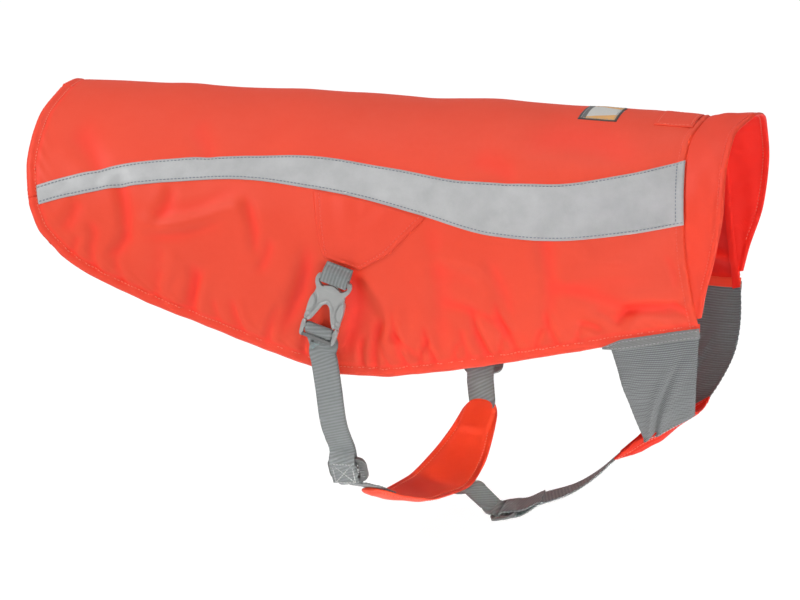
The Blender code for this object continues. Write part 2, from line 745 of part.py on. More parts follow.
def build_belly_pad():
    columns = 18
    rows = 6
    inner = []
    outer = []
    for r in range(rows + 1):
        side = 2.0 * r / rows - 1.0
        inner_row = []
        outer_row = []
        for c in range(columns + 1):
            place, wide, inward = pad_frame(c / columns)
            cup = PAD_CUP * side * side * math.sin(math.pi * c / columns)
            half = PAD_WALL / 2 * (1.0 - 0.45 * abs(side) ** 4)
            middle = place + wide * side + inward * cup
            inner_row.append(middle + inward * half)
            outer_row.append(middle - inward * half)
        inner.append(inner_row)
        outer.append(outer_row)
    closed_wall("belly_pad", outer, inner, "shell_cloth")


# ---- flat plastic pieces ----------------------------------------------------------------
class Place:
    """A local frame: origin, across, down and out."""

    def __init__(self, origin, down, out):
        self.origin = Vector(origin)
        self.down = Vector(down).normalized()
        out = Vector(out)
        self.out = (out - self.down * out.dot(self.down)).normalized()
        self.across = self.down.cross(self.out).normalized()

    def point(self, across, down, out):
        return self.origin + self.across * across + self.down * down + self.out * out


def plate(name, place, outline, holes, thickness, finish_name, round_edge=0.5):
    """A flat plate with holes, drawn as (across, down) points."""
    work = bmesh.new()
    edges = []
    for loop in [outline] + holes:
        verts = [work.verts.new(place.point(a, d, -thickness / 2)) for a, d in loop]
        edges += [work.edges.new((v, w)) for v, w in zip(verts, verts[1:] + verts[:1])]
    filled = bmesh.ops.triangle_fill(work, edges=edges, use_beauty=True)
    faces = [f for f in filled["geom"] if isinstance(f, bmesh.types.BMFace)]
    grown = bmesh.ops.extrude_face_region(work, geom=faces)
    top = [v for v in grown["geom"] if isinstance(v, bmesh.types.BMVert)]
    bmesh.ops.translate(work, verts=top, vec=place.out * thickness)
    body = add_object(name, work, finish_name)
    bevel = body.modifiers.new("round_edges", "BEVEL")
    bevel.width = round_edge * MM
    bevel.segments = 1
    bevel.limit_method = "ANGLE"
    bevel.angle_limit = math.radians(50.0)
    return body


def both_halves(half):
    """A closed outline from its right half, which starts and ends on the middle line."""
    mirrored = [(-a, d) for a, d in reversed(half) if a > 0.001]
    return list(half) + mirrored


def rounded_box(half_width, top, bottom, corner):
    points = []
    for turn, (sx, sy) in enumerate(((1, 1), (-1, 1), (-1, -1), (1, -1))):
        middle_x = sx * (half_width - corner)
        middle_y = (top + bottom) / 2 + sy * ((bottom - top) / 2 - corner)
        for step in range(3):
            angle = math.radians(90.0 * turn + 45.0 * step)
            points.append((middle_x + corner * math.cos(angle), middle_y + corner * math.sin(angle)))
    return points


def buckle_place(side, lean=None):
    """The frame of a buckle on one side, its origin at the middle of the upper bar."""
    x, reach, z = BUCKLE_TOP
    down_x, down_out, down_z = lean or (LEFT_DOWN if side > 0 else SEAM_DOWN)
    place = Place((x, side * reach, z), (down_x, side * down_out, down_z), (0.0, side, 0.0))
    return place


def build_buckle(side, end):
    place = buckle_place(side)
    socket = both_halves(SOCKET_HALF)
    slot = both_halves(SOCKET_SLOT_HALF)
    plate("buckle_socket_" + end, place, socket, [slot], SOCKET_WALL, "buckle_plastic", 0.8)
    plug = both_halves(PLUG_HALF)
    ladder = both_halves(PLUG_SLOT_HALF)
    plate("buckle_plug_" + end, place, plug, [ladder], PLUG_WALL, "buckle_plastic", 0.5)


def arc(centre_down, centre_out, radius, first, last, steps):
    """(down, out) points round a bar; 0 degrees looks out and 90 degrees looks down."""
    points = []
    for step in range(steps + 1):
        angle = math.radians(first + (last - first) * step / steps)
        points.append((centre_down + radius * math.sin(angle), centre_out + radius * math.cos(angle)))
    return points


def slider_outline():
    outline = rounded_box(SLIDER_WIDTH / 2, -SLIDER_LENGTH / 2, SLIDER_LENGTH / 2, CORNER)
    slot_height = (SLIDER_LENGTH - 3 * SLIDER_BAR) / 2
    half = SLIDER_SLOT_WIDTH / 2
    middle = SLIDER_BAR / 2
    holes = []
    for top in (-middle - slot_height, middle):
        bottom = top + slot_height
        holes.append([(-half, top), (half, top), (half, bottom), (-half, bottom)])
    return outline, holes


def build_slider(name, place):
    outline, holes = slider_outline()
    plate(name, place, outline, holes, SLIDER_WALL, "buckle_plastic", 0.5)


def local_route(place, path):
    """Webbing stations (point, width direction) from (down, out) points in a local frame."""
    return [(place.point(0.0, down, out), place.across) for down, out in path]


def swept_web(name, stations):
    """Webbing of even width along stations of (point, width direction)."""
    work = bmesh.new()
    rings = []
    for index, (point, wide) in enumerate(stations):
        ahead = stations[min(index + 1, len(stations) - 1)][0]
        behind = stations[max(index - 1, 0)][0]
        run = (ahead - behind).normalized()
        wide = (wide - run * wide.dot(run)).normalized()
        face = run.cross(wide).normalized() * WEB_WALL / 2
        wide = wide * WEB_WIDTH / 2
        ring = [point - wide + face, point + wide + face, point + wide - face, point - wide - face]
        rings.append([work.verts.new(p) for p in ring])
    for first, second in zip(rings, rings[1:]):
        for k in range(4):
            work.faces.new((first[k], first[(k + 1) % 4], second[(k + 1) % 4], second[k]))
    work.faces.new(rings[0])
    work.faces.new(list(reversed(rings[-1])))
    return add_object(name, work, "webbing")


def build_tab(side, end):
    """The short loop of webbing from the yoke patch round the buckle's upper bar."""
    seam = buckle_place(side, SEAM_DOWN)
    bar = buckle_place(side)
    clear = SOCKET_WALL / 2 + SEAM_GAP + WEB_WALL / 2
    bend = clear - TAB_BEND
    sewn = local_route(seam, [(-TAB_LENGTH, -2.2), (1.2 - TAB_LENGTH, -1.7)])
    front = local_route(bar, [(-4.5, clear - 0.6), (-1.6, clear)])
    back = local_route(bar, [(-1.6, -clear), (-4.5, -clear)])
    back += local_route(seam, [(1.2 - TAB_LENGTH, -clear - 0.1), (-TAB_LENGTH, -clear - 0.2)])
    middle = ((sewn[1][0] + front[0][0]) / 2 + bar.out / 2, (sewn[1][1] + front[0][1]) / 2)
    stations = sewn + [middle] + front
    stations += local_route(bar, arc(1.0, bend, TAB_BEND, 25, 90, 3))
    stations += local_route(bar, arc(1.0, -bend, TAB_BEND, 90, 155, 3))
    swept_web("tab_" + end, stations + back)


def slider_place(middle, down):
    middle = Vector(middle)
    return Place(middle, down, -towards_loop(middle))


def on_pad(share, across, out, width_way):
    """Station on the pad's inner face (out > 0) or outer face (out < 0), moved off it."""
    place, wide, inward = pad_frame(share)
    half = PAD_WALL / 2 if out > 0 else -PAD_WALL / 2
    cup = PAD_CUP * across * across * math.sin(math.pi * share)
    return place + wide * across + inward * (cup + half + out), width_way


def blend(stations, first, last, haste=1.0):
    """Give a run of points width directions that turn from first to last; they turn evenly
    where haste is 1 and sooner where it is smaller."""
    count = len(stations) - 1
    return [(point, first.lerp(last, (i / count) ** haste)) for i, point in enumerate(stations)]


def build_strap(side, end):
    """One length of webbing: from its box-stitched end on the adjuster up round the plug's
    bar, back down behind itself, over the adjuster's middle bar and on to the pad."""
    buckle = buckle_place(side)
    route = LEFT_STRAP if side > 0 else RIGHT_STRAP
    slider = slider_place(*(LEFT_SLIDER if side > 0 else RIGHT_SLIDER))
    shares = LEFT_PAD_SHARES if side > 0 else RIGHT_PAD_SHARES
    step = LAYER_STEP / 2
    top = buckle.point(side * STRAP_ASIDE, 54.0, -PLUG_WRAP - step)
    meet = slider.point(0.0, *INTO_SLIDER[0])
    middle = smooth_route([tuple(top)] + list(route) + [tuple(meet)], STRAP_STATIONS)
    front = [p - towards_loop(p) * step for p in middle]
    front = blend(front, buckle.across, slider.across, STRAP_HASTE)
    back = [p + towards_loop(p) * step for p in middle]
    back = blend(back, buckle.across, slider.across, STRAP_HASTE)
    stations = local_route(slider, SEWN_END + INTO_SLIDER[1:])
    stations += list(reversed(front))
    stations += local_route(buckle, UP_THROUGH_PLUG)
    stations += local_route(buckle, arc(PLUG_BAR, 0.0, PLUG_WRAP, 0, -180, 6))
    stations += local_route(buckle, DOWN_BEHIND_PLUG)
    stations += back
    stations += local_route(slider, OVER_SLIDER_BAR)
    pad_way = pad_frame(shares[1])[1].normalized()
    if pad_way.dot(slider.across) < 0.0:
        pad_way = -pad_way
    clear = WEB_WALL / 2 + 2 * SEAM_GAP
    reach = shares[1] - shares[0]
    sewn = [on_pad(shares[0] + reach * i / 3, 0.0, clear, pad_way) for i in range(4)]
    leave = stations[-1][0]
    between = [leave.lerp(sewn[0][0], share) for share in (0.0, 0.33, 0.66, 1.0)]
    stations += blend(between, slider.across, pad_way)[1:-1] + sewn
    swept_web("side_web_" + end, stations)
    body = Place(slider.point(side * SLIDER_SHIFT, 0.0, 0.0), slider.down, slider.out)
    build_slider("slider_" + end, body)


def build_chest_webbing():
    """Webbing looped round the adjuster's middle bar, and a short piece to the pad."""
    middle, down = CHEST_SLIDER
    slope = Vector(down).cross(Vector(CHEST_TWIST))
    place = Place(middle, down, slope if slope.z < 0 else -slope)
    build_slider("chest_slider", place)
    half = SLIDER_LENGTH / 2
    loop = [(-half - 2.0, OVER_BAR - 0.3), (-half + 1.5, OVER_BAR), (-4.5, OVER_BAR), (-1.5, OVER_BAR + 0.3)]
    loop += arc(0.0, 0.0, OVER_BAR + 0.6, 20, 160, 5)
    loop += [(d, -out) for d, out in reversed(loop[:4])]
    lower = smooth_route(CHEST_WEB_FRONT, 10)
    level = Vector((0.0, place.across.y, 0.0)).normalized()
    front = blend(list(reversed(lower)), level, place.across)
    upper = [(p - place.out * LAYER_STEP, wide) for p, wide in reversed(front) if p.x < CHEST_FREE_END + 6.0]
    swept_web("chest_web_front", front + local_route(place, loop) + upper)

    run = pad_frame(CHEST_PAD_SHARE)[2].cross(pad_frame(CHEST_PAD_SHARE)[1]).normalized()
    if run.dot(place.across) < 0.0:
        run = -run
    clear = WEB_WALL / 2 + 2 * SEAM_GAP
    sewn = [on_pad(CHEST_PAD_SHARE, across, -clear, run) for across in (0.4, 0.75, 1.06)]
    start = sewn[-1][0]
    edge = local_route(place, [(half + 3.0, -OVER_BAR + 0.8)])[0][0]
    steps = [start.lerp(edge, share) for share in (0.33, 0.66, 1.0)]
    between = blend(steps, run.lerp(place.across, 0.33), place.across)
    end_bar = half - SLIDER_BAR / 2
    loop = [(end_bar + 1.0, -OVER_BAR)] + arc(end_bar, 0.0, OVER_BAR + 0.6, 200, 300, 4)
    swept_web("chest_web_rear", sewn + between + local_route(place, loop))


def main():
    for old in list(bpy.data.objects):
        bpy.data.objects.remove(old, do_unlink=True)
    build_shell()
    build_stripes()
    build_yoke_patches()
    build_spine_pieces()
    build_collar()
    build_chest_strip()
    build_chest_mesh()
    build_mesh_bands()
    build_belly_pad()
    for side, end in ((1, "left"), (-1, "right")):
        build_buckle(side, end)
        build_tab(side, end)
        build_strap(side, end)
    build_chest_webbing()


main()
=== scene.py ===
import math

import bmesh
import bpy
import numpy as np
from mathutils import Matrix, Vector


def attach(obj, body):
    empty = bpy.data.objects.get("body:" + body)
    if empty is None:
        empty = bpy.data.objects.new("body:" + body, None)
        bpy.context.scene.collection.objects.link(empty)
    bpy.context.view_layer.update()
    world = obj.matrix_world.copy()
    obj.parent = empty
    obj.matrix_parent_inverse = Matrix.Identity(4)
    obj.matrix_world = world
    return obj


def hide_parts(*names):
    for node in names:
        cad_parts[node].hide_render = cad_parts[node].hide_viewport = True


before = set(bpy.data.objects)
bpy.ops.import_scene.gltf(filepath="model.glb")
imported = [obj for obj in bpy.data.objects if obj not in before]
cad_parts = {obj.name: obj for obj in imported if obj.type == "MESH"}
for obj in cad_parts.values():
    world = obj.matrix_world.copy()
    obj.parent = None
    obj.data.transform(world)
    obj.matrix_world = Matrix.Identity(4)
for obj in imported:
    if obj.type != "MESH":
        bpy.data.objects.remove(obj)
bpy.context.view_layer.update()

MM = 0.001
BODY = "root"
SIDES = ((1, "left"), (-1, "right"))      # which way is out in y, and the name of the side

# ---- sizes shared with the solids ----
SEAM_GAP = 0.3
BELOW_WIDEST = 75.0         # height of one unit of turn below the widest line
TRUNK_MIDDLE_Z = -90.0
FORM = np.array((           # x, spine z, half width, drop, tuck
    (-250.0, -1.2, 107.0, 80.0, 8.0),
    (-190.0, -0.8, 110.0, 81.0, 8.0),
    (-120.0, 0.0, 113.0, 82.0, 8.0),
    (0.0, 0.0, 117.0, 84.0, 8.0),
    (100.0, 0.0, 114.0, 84.0, 8.0),
    (150.0, 0.0, 109.0, 83.0, 8.0),
    (190.0, 0.0, 99.0, 81.0, 8.0),
    (215.0, -0.5, 88.0, 78.0, 9.0),
    (232.0, -1.0, 80.0, 75.0, 10.0),
    (250.0, -1.0, 75.0, 72.0, 10.0),
))
STRIPE_TOP = ((-246, -56), (-216, -46), (-167, -35), (-117, -29), (-44, -25), (12, -28),
              (81, -34), (131, -34), (192, -26), (227.5, -19))
STRIPE_BOTTOM = ((-243, -69), (-215, -60), (-164, -49), (-82, -41), (-33, -44), (2, -48),
                 (45, -56), (100, -68), (136, -70), (197, -65), (232, -60))
HEM = ((-227, -95), (-215, -106), (-176, -126), (-96, -154), (-39, -173), (-14, -179.5),
       (13, -179.5), (43, -175), (116, -161), (177, -148.5), (242, -141))
TAIL_UPPER = ((-247, -1), (-250, -12), (-249.5, -35), (-246, -56))
TAIL_LOWER = ((-243, -69), (-240.5, -75), (-236, -85), (-227, -95))
NECK_UPPER = ((230, -1), (227, -8), (227.5, -19))
NECK_LOWER = ((232, -60), (234, -85), (238, -115), (242, -141))
FOLDS = (                   # x, z, slope, half length, half width, depth
    (-48.0, -128.0, 68.0, 34.0, 16.0, 2.6),
    (12.0, -132.0, 96.0, 30.0, 13.0, 3.0),
    (34.0, -150.0, 104.0, 24.0, 12.0, -1.6),
    (72.0, -128.0, -30.0, 44.0, 14.0, 1.8),
    (132.0, -112.0, -24.0, 60.0, 16.0, 1.8),
    (190.0, -130.0, 4.0, 34.0, 12.0, 2.2),
    (-172.0, -92.0, 100.0, 28.0, 14.0, 1.6),
    (-112.0, -78.0, 78.0, 22.0, 13.0, 1.2),
)
RIM = ((266.0, 0.0, 5.0), (265.0, 36.0, -3.0), (262.0, 61.0, -18.5), (260.0, 78.0, -47.0),
       (255.0, 83.0, -82.0), (246.5, 74.5, -114.0), (243.5, 71.0, -129.0))
NEAR_RIM_BACK = (0.0, -6.5, -3.3, 0.0, 0.0, 0.0, 0.0)   # the near half stands back a little
COLLAR_END = (240.0, -130.0)
COLLAR_BOW = 1.6
COLLAR_WALL = 1.9           # from the outer face of the collar to its inner face
COLLAR_LOW = 12.0           # below this height the collar is flat and has no stitches
COLLAR_STITCH = 4.6         # from the rim down to the collar's rows of stitches
CHEST_STRIP = (             # x, edge z, half width, sag
    (230.0, -212.0, 22.0, 3.0),
    (215.0, -221.0, 21.5, 6.0),
    (200.0, -229.5, 20.5, 10.0),
    (188.0, -235.0, 18.0, 13.0),
    (178.0, -243.5, 14.5, 9.0),
    (167.0, -254.0, 11.0, 1.5),
)
MESH_TOP_X = (182.0, 241.6)
MESH_STRIP_SHARE = (0.58, 0.02)
MESH_BULGE = (3.0, 10.0)
MESH_BOW = {1: 7.0, -1: 1.0}
MESH_OUT = (0.0, 0.8, -0.6)
STRIP_EDGE_OUT = (0.0, 0.94, -0.81)
STRIP_LAP_OUT = (0.0, 0.5, -0.98)
STRIP_LAP = 0.8
MESH_CLEAR = 1.5
KNIT_LAP = 1.08             # how far the shown knit reaches round the strip's edge
BAND_HEIGHT = 8.0
BAND_START = 5.0
BAND_LIFT = 0.55
BELLY_PAD = (               # x, y, z, width
    (-3.0, -61.0, -274.5, 22.0),
    (7.0, -42.0, -284.5, 37.0),
    (17.0, -14.0, -291.0, 49.0),
    (28.0, 16.0, -290.0, 51.0),
    (36.0, 43.0, -280.0, 45.0),
    (42.0, 67.0, -263.0, 34.0),
    (46.0, 88.0, -243.0, 24.0),
)
PAD_CUP = 2.0
PAD_WALL = 2.8
LOOP_CENTRE_Z = -110.0
WEB_WIDTH = 20.0
WEB_WALL = 1.4
LAYER_STEP = 1.7
RIGHT_STRAP = ((-22.0, -113.5, -168.0), (-20.5, -108.0, -189.0), (-19.5, -99.5, -215.0))
RIGHT_SLIDER = ((-15.5, -80.0, -255.0), (0.10, 0.36, -0.93))
RIGHT_PAD_SHARES = (0.02, 0.12)
LEFT_STRAP = ((-1.5, 116.6, -166.2), (8.5, 115.7, -176.0), (19.0, 113.8, -186.0),
              (29.0, 111.4, -194.8))
LEFT_SLIDER = ((40.0, 101.5, -217.0), (0.12, -0.45, -0.88))
LEFT_PAD_SHARES = (0.98, 0.88)
BUCKLE_TOP = (-12.2, 121.8, -104.6)
SEAM_DOWN = (-0.305, -0.05, -0.951)
LEFT_DOWN = (0.0, -0.05, -0.999)
SOCKET_WALL = 5.6
PLUG_WALL = 2.8
SOCKET_HALF = ((0.0, -1.6), (11.0, -1.6), (13.0, -0.4), (13.6, 3.0), (12.8, 6.5), (10.6, 9.6),
               (11.2, 13.0), (12.8, 17.0), (13.4, 22.0), (13.2, 28.0), (13.6, 34.6),
               (8.4, 34.6), (5.6, 28.0), (3.0, 21.0), (1.6, 19.2), (0.0, 18.6))
SOCKET_SLOT_HALF = ((0.0, 1.6), (10.6, 1.6), (11.0, 4.0), (7.4, 7.6), (3.6, 5.6), (0.0, 4.4))
PLUG_HALF = ((0.0, 38.4), (10.8, 38.4), (10.8, 34.9), (13.5, 34.9), (13.8, 40.0), (13.3, 46.6),
             (11.8, 48.0), (0.0, 48.0))
PLUG_SLOT_HALF = ((0.0, 41.2), (10.8, 41.2), (10.8, 45.6), (0.0, 45.6))
PLUG_BAR = 39.8
PLUG_WRAP = 2.85
TAB_LENGTH = 10.0
TAB_BEND = 2.2
SLIDER_WIDTH = 29.6
SLIDER_LENGTH = 20.0
SLIDER_WALL = 2.6
SLIDER_BAR = 3.0
OVER_BAR = SLIDER_WALL / 2 + SEAM_GAP + 0.1 + WEB_WALL / 2
SLIDER_SLOT_WIDTH = 24.8
SLIDER_SHIFT = 2.0
SLIDER_GRIP = 3.8           # width of the ridged end of a side adjuster
STRAP_STATIONS = 9
STRAP_HASTE = 0.25
STRAP_ASIDE = {1: 4.0, -1: 6.0}
UP_THROUGH_PLUG = ((50.0, -2.85), (47.5, -2.85), (45.2, -2.2), (43.6, 0.0), (42.0, 2.0))
DOWN_BEHIND_PLUG = ((43.2, -3.6), (45.4, -4.3), (47.5, -4.6), (50.0, -4.6))
SEWN_END = ((9.5, 3.9), (0.0, 4.1), (-8.0, 4.0), (-10.8, 2.4))
INTO_SLIDER = ((-17.0, -2.3), (-14.0, -1.3))
OVER_SLIDER_BAR = ((-14.0, -3.1), (-8.5, -2.4), (-6.0, -2.3), (-2.5, 2.2), (-1.0, 2.4), (1.0, 2.4),
                   (2.5, 2.2), (6.0, -2.3), (8.5, -2.4), (12.0, -2.6), (14.5, -3.4))
CHEST_SLIDER = ((84.0, 3.0, -301.0), (-0.95, 0.16, -0.24))
CHEST_PAD_SHARE = 0.54
CHEST_WEB_FRONT = ((112.0, 1.0, -290.0), (133.0, 0.0, -281.5), (152.0, 0.0, -268.5),
                   (160.0, 0.0, -261.0), (166.3, 0.0, -254.9))
CHEST_FREE_END = 108.0
CHEST_TWIST = (0.0, 0.96, 0.22)
LABEL_X = (140.0, 168.5)
LABEL_HALF = 19.0
LABEL_BORDER = 1.7
LEASH_X = (196.0, 225.0)
LEASH_HALF = 20.0
YOKE_TOP_X = (-33.0, 51.0)
YOKE_BOTTOM = ((-22.2, -89.5), (3.3, -98.6))

# ---- sizes of the looks ----
CLOTH = 0.45                # thickness of the shell cloth
TAPE_WALL = 0.35
KNIT_WALL = 0.8
BINDING_WALL = 0.7
STRIP_WALL = 1.2
HEM_WIDTH = 7.0
FAR_OFF = 99.0              # stands for any distance beyond the hem's reach
HEM_STITCH = 6.3            # from the edge in to the hem's row of stitches
NECK_STITCH = 5.5
THREAD = 0.34               # half thickness of the sewing thread
THREAD_FLATNESS = 1.15      # how much wider a stitch is than thick
STITCH = 1.8                # length of a stitch
STITCH_STEP = 2.7           # from one stitch to the next
RIB_PITCH = 2.7             # ribs of the webbing
RIB_SLANT = 0.33            # how far a rib runs on for each step across

# Creases drawn on the form: both ends as (x, z), half width and depth; a ridge is
# negative. The right side follows the photograph, the left side has similar ones.
RIGHT_CREASES = (
    (-177, -46, -169, -84, 6.0, 0.75), (-169, -84, -181, -101, 5.0, 0.60),
    (-137, -52, -149, -78, 5.5, 0.50), (-207, -64, -216, -83, 6.0, 0.50),
    (-196, -78, -191, -98, 4.5, 0.45), (-80, -56, -72, -92, 5.0, 0.65),
    (-90, -60, -154, -76, 6.0, -0.75), (-96, -66, -150, -84, 5.0, 0.45),
    (-134, -95, -142, -119, 6.0, -0.5), (-119, -106, -126, -136, 5.0, 0.60),
    (-62, -82, -70, -104, 4.5, 0.55), (-34, -92, -57, -147, 7.0, 0.85),
    (-1, -100, -8, -162, 8.5, 1.15), (12, -104, 27, -142, 8.0, -0.45),
    (28, -147, 43, -161, 3.4, 0.80), (57, -70, 62, -150, 8.0, 0.40),
    (137, -66, 141, -128, 7.0, 0.55), (100, -90, 112, -128, 6.0, 0.45),
    (70, -120, 122, -146, 5.0, 0.60), (150, -104, 206, -128, 7.0, 0.60),
    (188, -131, 198, -120, 4.2, 0.95), (197, -121, 226, -123, 5.2, 1.00),
    (224, -118, 234, -127, 3.0, 0.70), (163, -130, 177, -136, 2.8, 0.60),
    (174, -120, 186, -128, 3.6, 0.45), (60, -84, 96, -94, 7.0, -0.4),
    (150, -92, 200, -86, 8.0, -0.4), (222, -84, 226, -104, 3.0, 0.35),
    (-60, -12, 20, -16, 12.0, -0.4), (120, -10, 190, -16, 9.0, 0.4),
    (-215, -20, -190, -44, 8.0, 0.5), (80, -22, 110, -30, 7.0, 0.4),
    (-130, -14, -112, -30, 7.0, 0.35),
)
LEFT_CREASES = (
    (-190, -62, -181, -98, 8.0, 0.8), (-150, -58, -160, -86, 6.0, 0.6),
    (-118, -60, -106, -104, 7.0, 0.9), (-98, -66, -140, -96, 8.0, -0.7),
    (-70, -118, -76, -150, 6.0, 0.6), (-40, -100, -52, -150, 8.0, 0.9),
    (-12, -116, -10, -160, 6.0, 1.0), (10, -112, 22, -150, 6.0, 0.9),
    (30, -154, 34, -168, 3.5, 0.7), (58, -112, 110, -150, 7.0, 0.8),
    (96, -86, 190, -128, 9.0, 0.8), (186, -126, 230, -121, 4.0, 1.0),
    (160, -132, 174, -138, 3.0, 0.6), (140, -92, 196, -86, 8.0, -0.5),
    (-150, -14, -80, -18, 12.0, 0.5), (30, -12, 90, -20, 10.0, -0.5),
    (-220, -24, -200, -46, 8.0, 0.4), (190, -10, 215, -22, 7.0, 0.5),
)
# Short puckers that rise from the hem's stitches: x, height, lean, half width and depth.
RIGHT_PUCKERS = (
    (-210, 14, 5, 3.6, 0.40), (-193, 22, -4, 4.0, 0.55), (-172, 16, -6, 3.4, 0.40),
    (-148, 20, 5, 4.0, 0.40), (-121, 30, 7, 4.0, 0.65), (-101, 16, -4, 3.0, 0.35),
    (-84, 22, -7, 3.6, 0.60), (-66, 28, 9, 3.6, 0.60), (-40, 32, 11, 4.2, 0.70),
    (3, 22, 2, 2.8, 0.80), (12, 36, 7, 3.8, 0.95), (23, 16, -5, 2.4, 0.70),
    (36, 40, -9, 3.6, 1.00), (46, 18, 6, 2.4, 0.70), (57, 26, -7, 3.0, 0.85),
    (71, 13, 4, 2.4, 0.55), (83, 20, -6, 3.0, 0.60), (96, 30, -11, 3.2, 1.00),
    (105, 14, 3, 2.2, 0.65), (117, 34, -15, 3.4, 0.95), (131, 15, 5, 2.6, 0.65),
    (146, 22, -8, 2.8, 0.75), (160, 12, 4, 2.4, 0.50),
)
LEFT_PUCKERS = (
    (-204, 18, 6, 3.8, 0.45), (-186, 14, -5, 3.2, 0.40), (-160, 24, 7, 4.0, 0.55),
    (-134, 16, -4, 3.4, 0.40), (-112, 28, -8, 4.0, 0.65), (-90, 14, 4, 3.0, 0.40),
    (-72, 24, 9, 3.4, 0.60), (-48, 30, -9, 4.0, 0.70), (-20, 26, 5, 3.0, 0.80),
    (-4, 38, -8, 3.8, 0.95), (9, 16, 4, 2.4, 0.65), (22, 30, 9, 3.4, 0.90),
    (37, 18, -6, 2.6, 0.70), (52, 24, 7, 3.0, 0.80), (68, 14, -4, 2.4, 0.55),
    (86, 28, -10, 3.2, 0.90), (99, 16, 5, 2.6, 0.60), (112, 30, -13, 3.4, 0.85),
    (128, 14, 4, 2.4, 0.60), (150, 20, -7, 2.8, 0.70),
)
CREASE_DEPTH = 3.0          # the depths above are shares of this
TURN_GIRTH = 110.0          # length round the girth of one unit of turn, for the waves
WAVES = (                   # long soft waves: run in x, run in the girth, start, height
    (0.046, 0.021, 0.6, 0.45), (0.023, -0.052, 2.1, 0.40),
    (0.083, 0.061, 4.0, 0.26), (-0.061, 0.094, 1.2, 0.24), (0.142, -0.048, 2.6, 0.10),
)


# ---- numbers and curves ----
def cubic(t, step, values, slopes, i):
    """Cubic from value i to value i + 1 with their slopes, at a share t of the step."""
    start = (2 * t ** 3 - 3 * t ** 2 + 1) * values[i] + (t ** 3 - 2 * t ** 2 + t) * step * slopes[i]
    end = (3 * t ** 2 - 2 * t ** 3) * values[i + 1] + (t ** 3 - t ** 2) * step * slopes[i + 1]
    return start + end


def smooth(values, parameters, at):
    """Monotone cubic through values, each at its parameter."""
    steps = np.diff(parameters)
    rises = np.diff(values) / steps
    slopes = np.zeros(len(values))
    slopes[0], slopes[-1] = rises[0], rises[-1]
    for i in range(1, len(steps)):
        if rises[i - 1] * rises[i] > 0.0:
            before = 2.0 * steps[i] + steps[i - 1]
            after = steps[i] + 2.0 * steps[i - 1]
            slopes[i] = (before + after) / (before / rises[i - 1] + after / rises[i])
    at = np.clip(at, parameters[0], parameters[-1])
    i = np.clip(np.searchsorted(parameters, at) - 1, 0, len(steps) - 1)
    return cubic((at - parameters[i]) / steps[i], steps[i], values, slopes, i)


def chord_lengths(points):
    gaps = np.linalg.norm(np.diff(np.asarray(points, float), axis=0), axis=1)
    return np.concatenate(([0.0], np.cumsum(gaps)))


def along(points, share):
    """Point at a share of the length of a smooth curve through the points."""
    points = np.asarray(points, float)
    lengths = chord_lengths(points)
    at = np.asarray(share, float) * lengths[-1]
    return np.stack([smooth(column, lengths, at) for column in points.T], axis=-1)


def round_route(points, step):
    """Evenly spaced points on a rounder curve through all the points."""
    points = np.asarray(points, float)
    lengths = chord_lengths(points)
    slopes = np.gradient(points, lengths, axis=0)
    at = np.linspace(0.0, lengths[-1], max(2, int(lengths[-1] / step) + 1))
    i = np.clip(np.searchsorted(lengths, at) - 1, 0, len(points) - 2)
    span = (lengths[i + 1] - lengths[i])[:, None]
    return cubic((at - lengths[i])[:, None] / span, span, points, slopes, i)


def share_at_x(line, x):
    fine = np.linspace(0.0, 1.0, 600)
    return np.interp(x, along(line, fine)[:, 0], fine)


def hem_level(x):
    return along(HEM, share_at_x(HEM, x))[..., 1]


def unit(vectors):
    return vectors / np.maximum(np.linalg.norm(vectors, axis=-1, keepdims=True), 1e-9)


def mix(first, second, share):
    share = np.asarray(share, float)[..., None]
    return np.asarray(first, float) * (1.0 - share) + np.asarray(second, float) * share


def bump_at(values, middle, half):
    """A soft hump of height 1 round a middle value."""
    return np.exp(-((values - middle) / half) ** 2)


def ease(share):
    """Soft start and soft end for a share from 0 to 1."""
    return share * share * (3.0 - 2.0 * share)


def humps(values, table):
    """Sum of soft humps: rows of height, middle and half width."""
    return sum(height * bump_at(values, middle, half) for height, middle, half in table)


# ---- the body form ----
def section(x):
    return [smooth(FORM[:, k], FORM[:, 0], x) for k in range(1, 5)]


def turn_at(x, z):
    """Turn of the section at a level: 0 on the spine, 1 at the widest line."""
    spine, _, drop, _ = section(x)
    below = spine - z
    upper = np.arccos(np.clip(1.0 - below / drop, -1.0, 1.0)) / (math.pi / 2)
    return np.where(below < drop, upper, 1.0 + (below - drop) / BELOW_WIDEST)


def bare_point(x, turn):
    spine, half_width, drop, tuck = section(x)
    side = np.where(turn >= 0, 1.0, -1.0)
    turn = np.abs(turn)
    angle = np.minimum(turn, 1.0) * math.pi / 2
    lower = np.maximum(turn - 1.0, 0.0)
    y = half_width * np.sin(angle) - tuck * lower ** 2
    z = spine - drop * (1.0 - np.cos(angle)) - BELOW_WIDEST * lower
    return np.stack([x + 0.0 * y, side * y, z], axis=-1)


def girth_way(x, turn):
    """How far the point moves in millimetres for one unit of turn, as a vector."""
    return (bare_point(x, turn + 0.01) - bare_point(x, turn - 0.01)) / 0.02


def form_normal(x, turn):
    forward = bare_point(x + 2.0, turn) - bare_point(x - 2.0, turn)
    normal = unit(np.cross(forward, girth_way(x, turn)))
    outward = bare_point(x, turn) - np.array([0.0, 0.0, TRUNK_MIDDLE_Z])
    outward[..., 0] = 0.0
    facing = np.sum(normal * outward, axis=-1, keepdims=True)
    return np.where(facing > 0, normal, -normal)


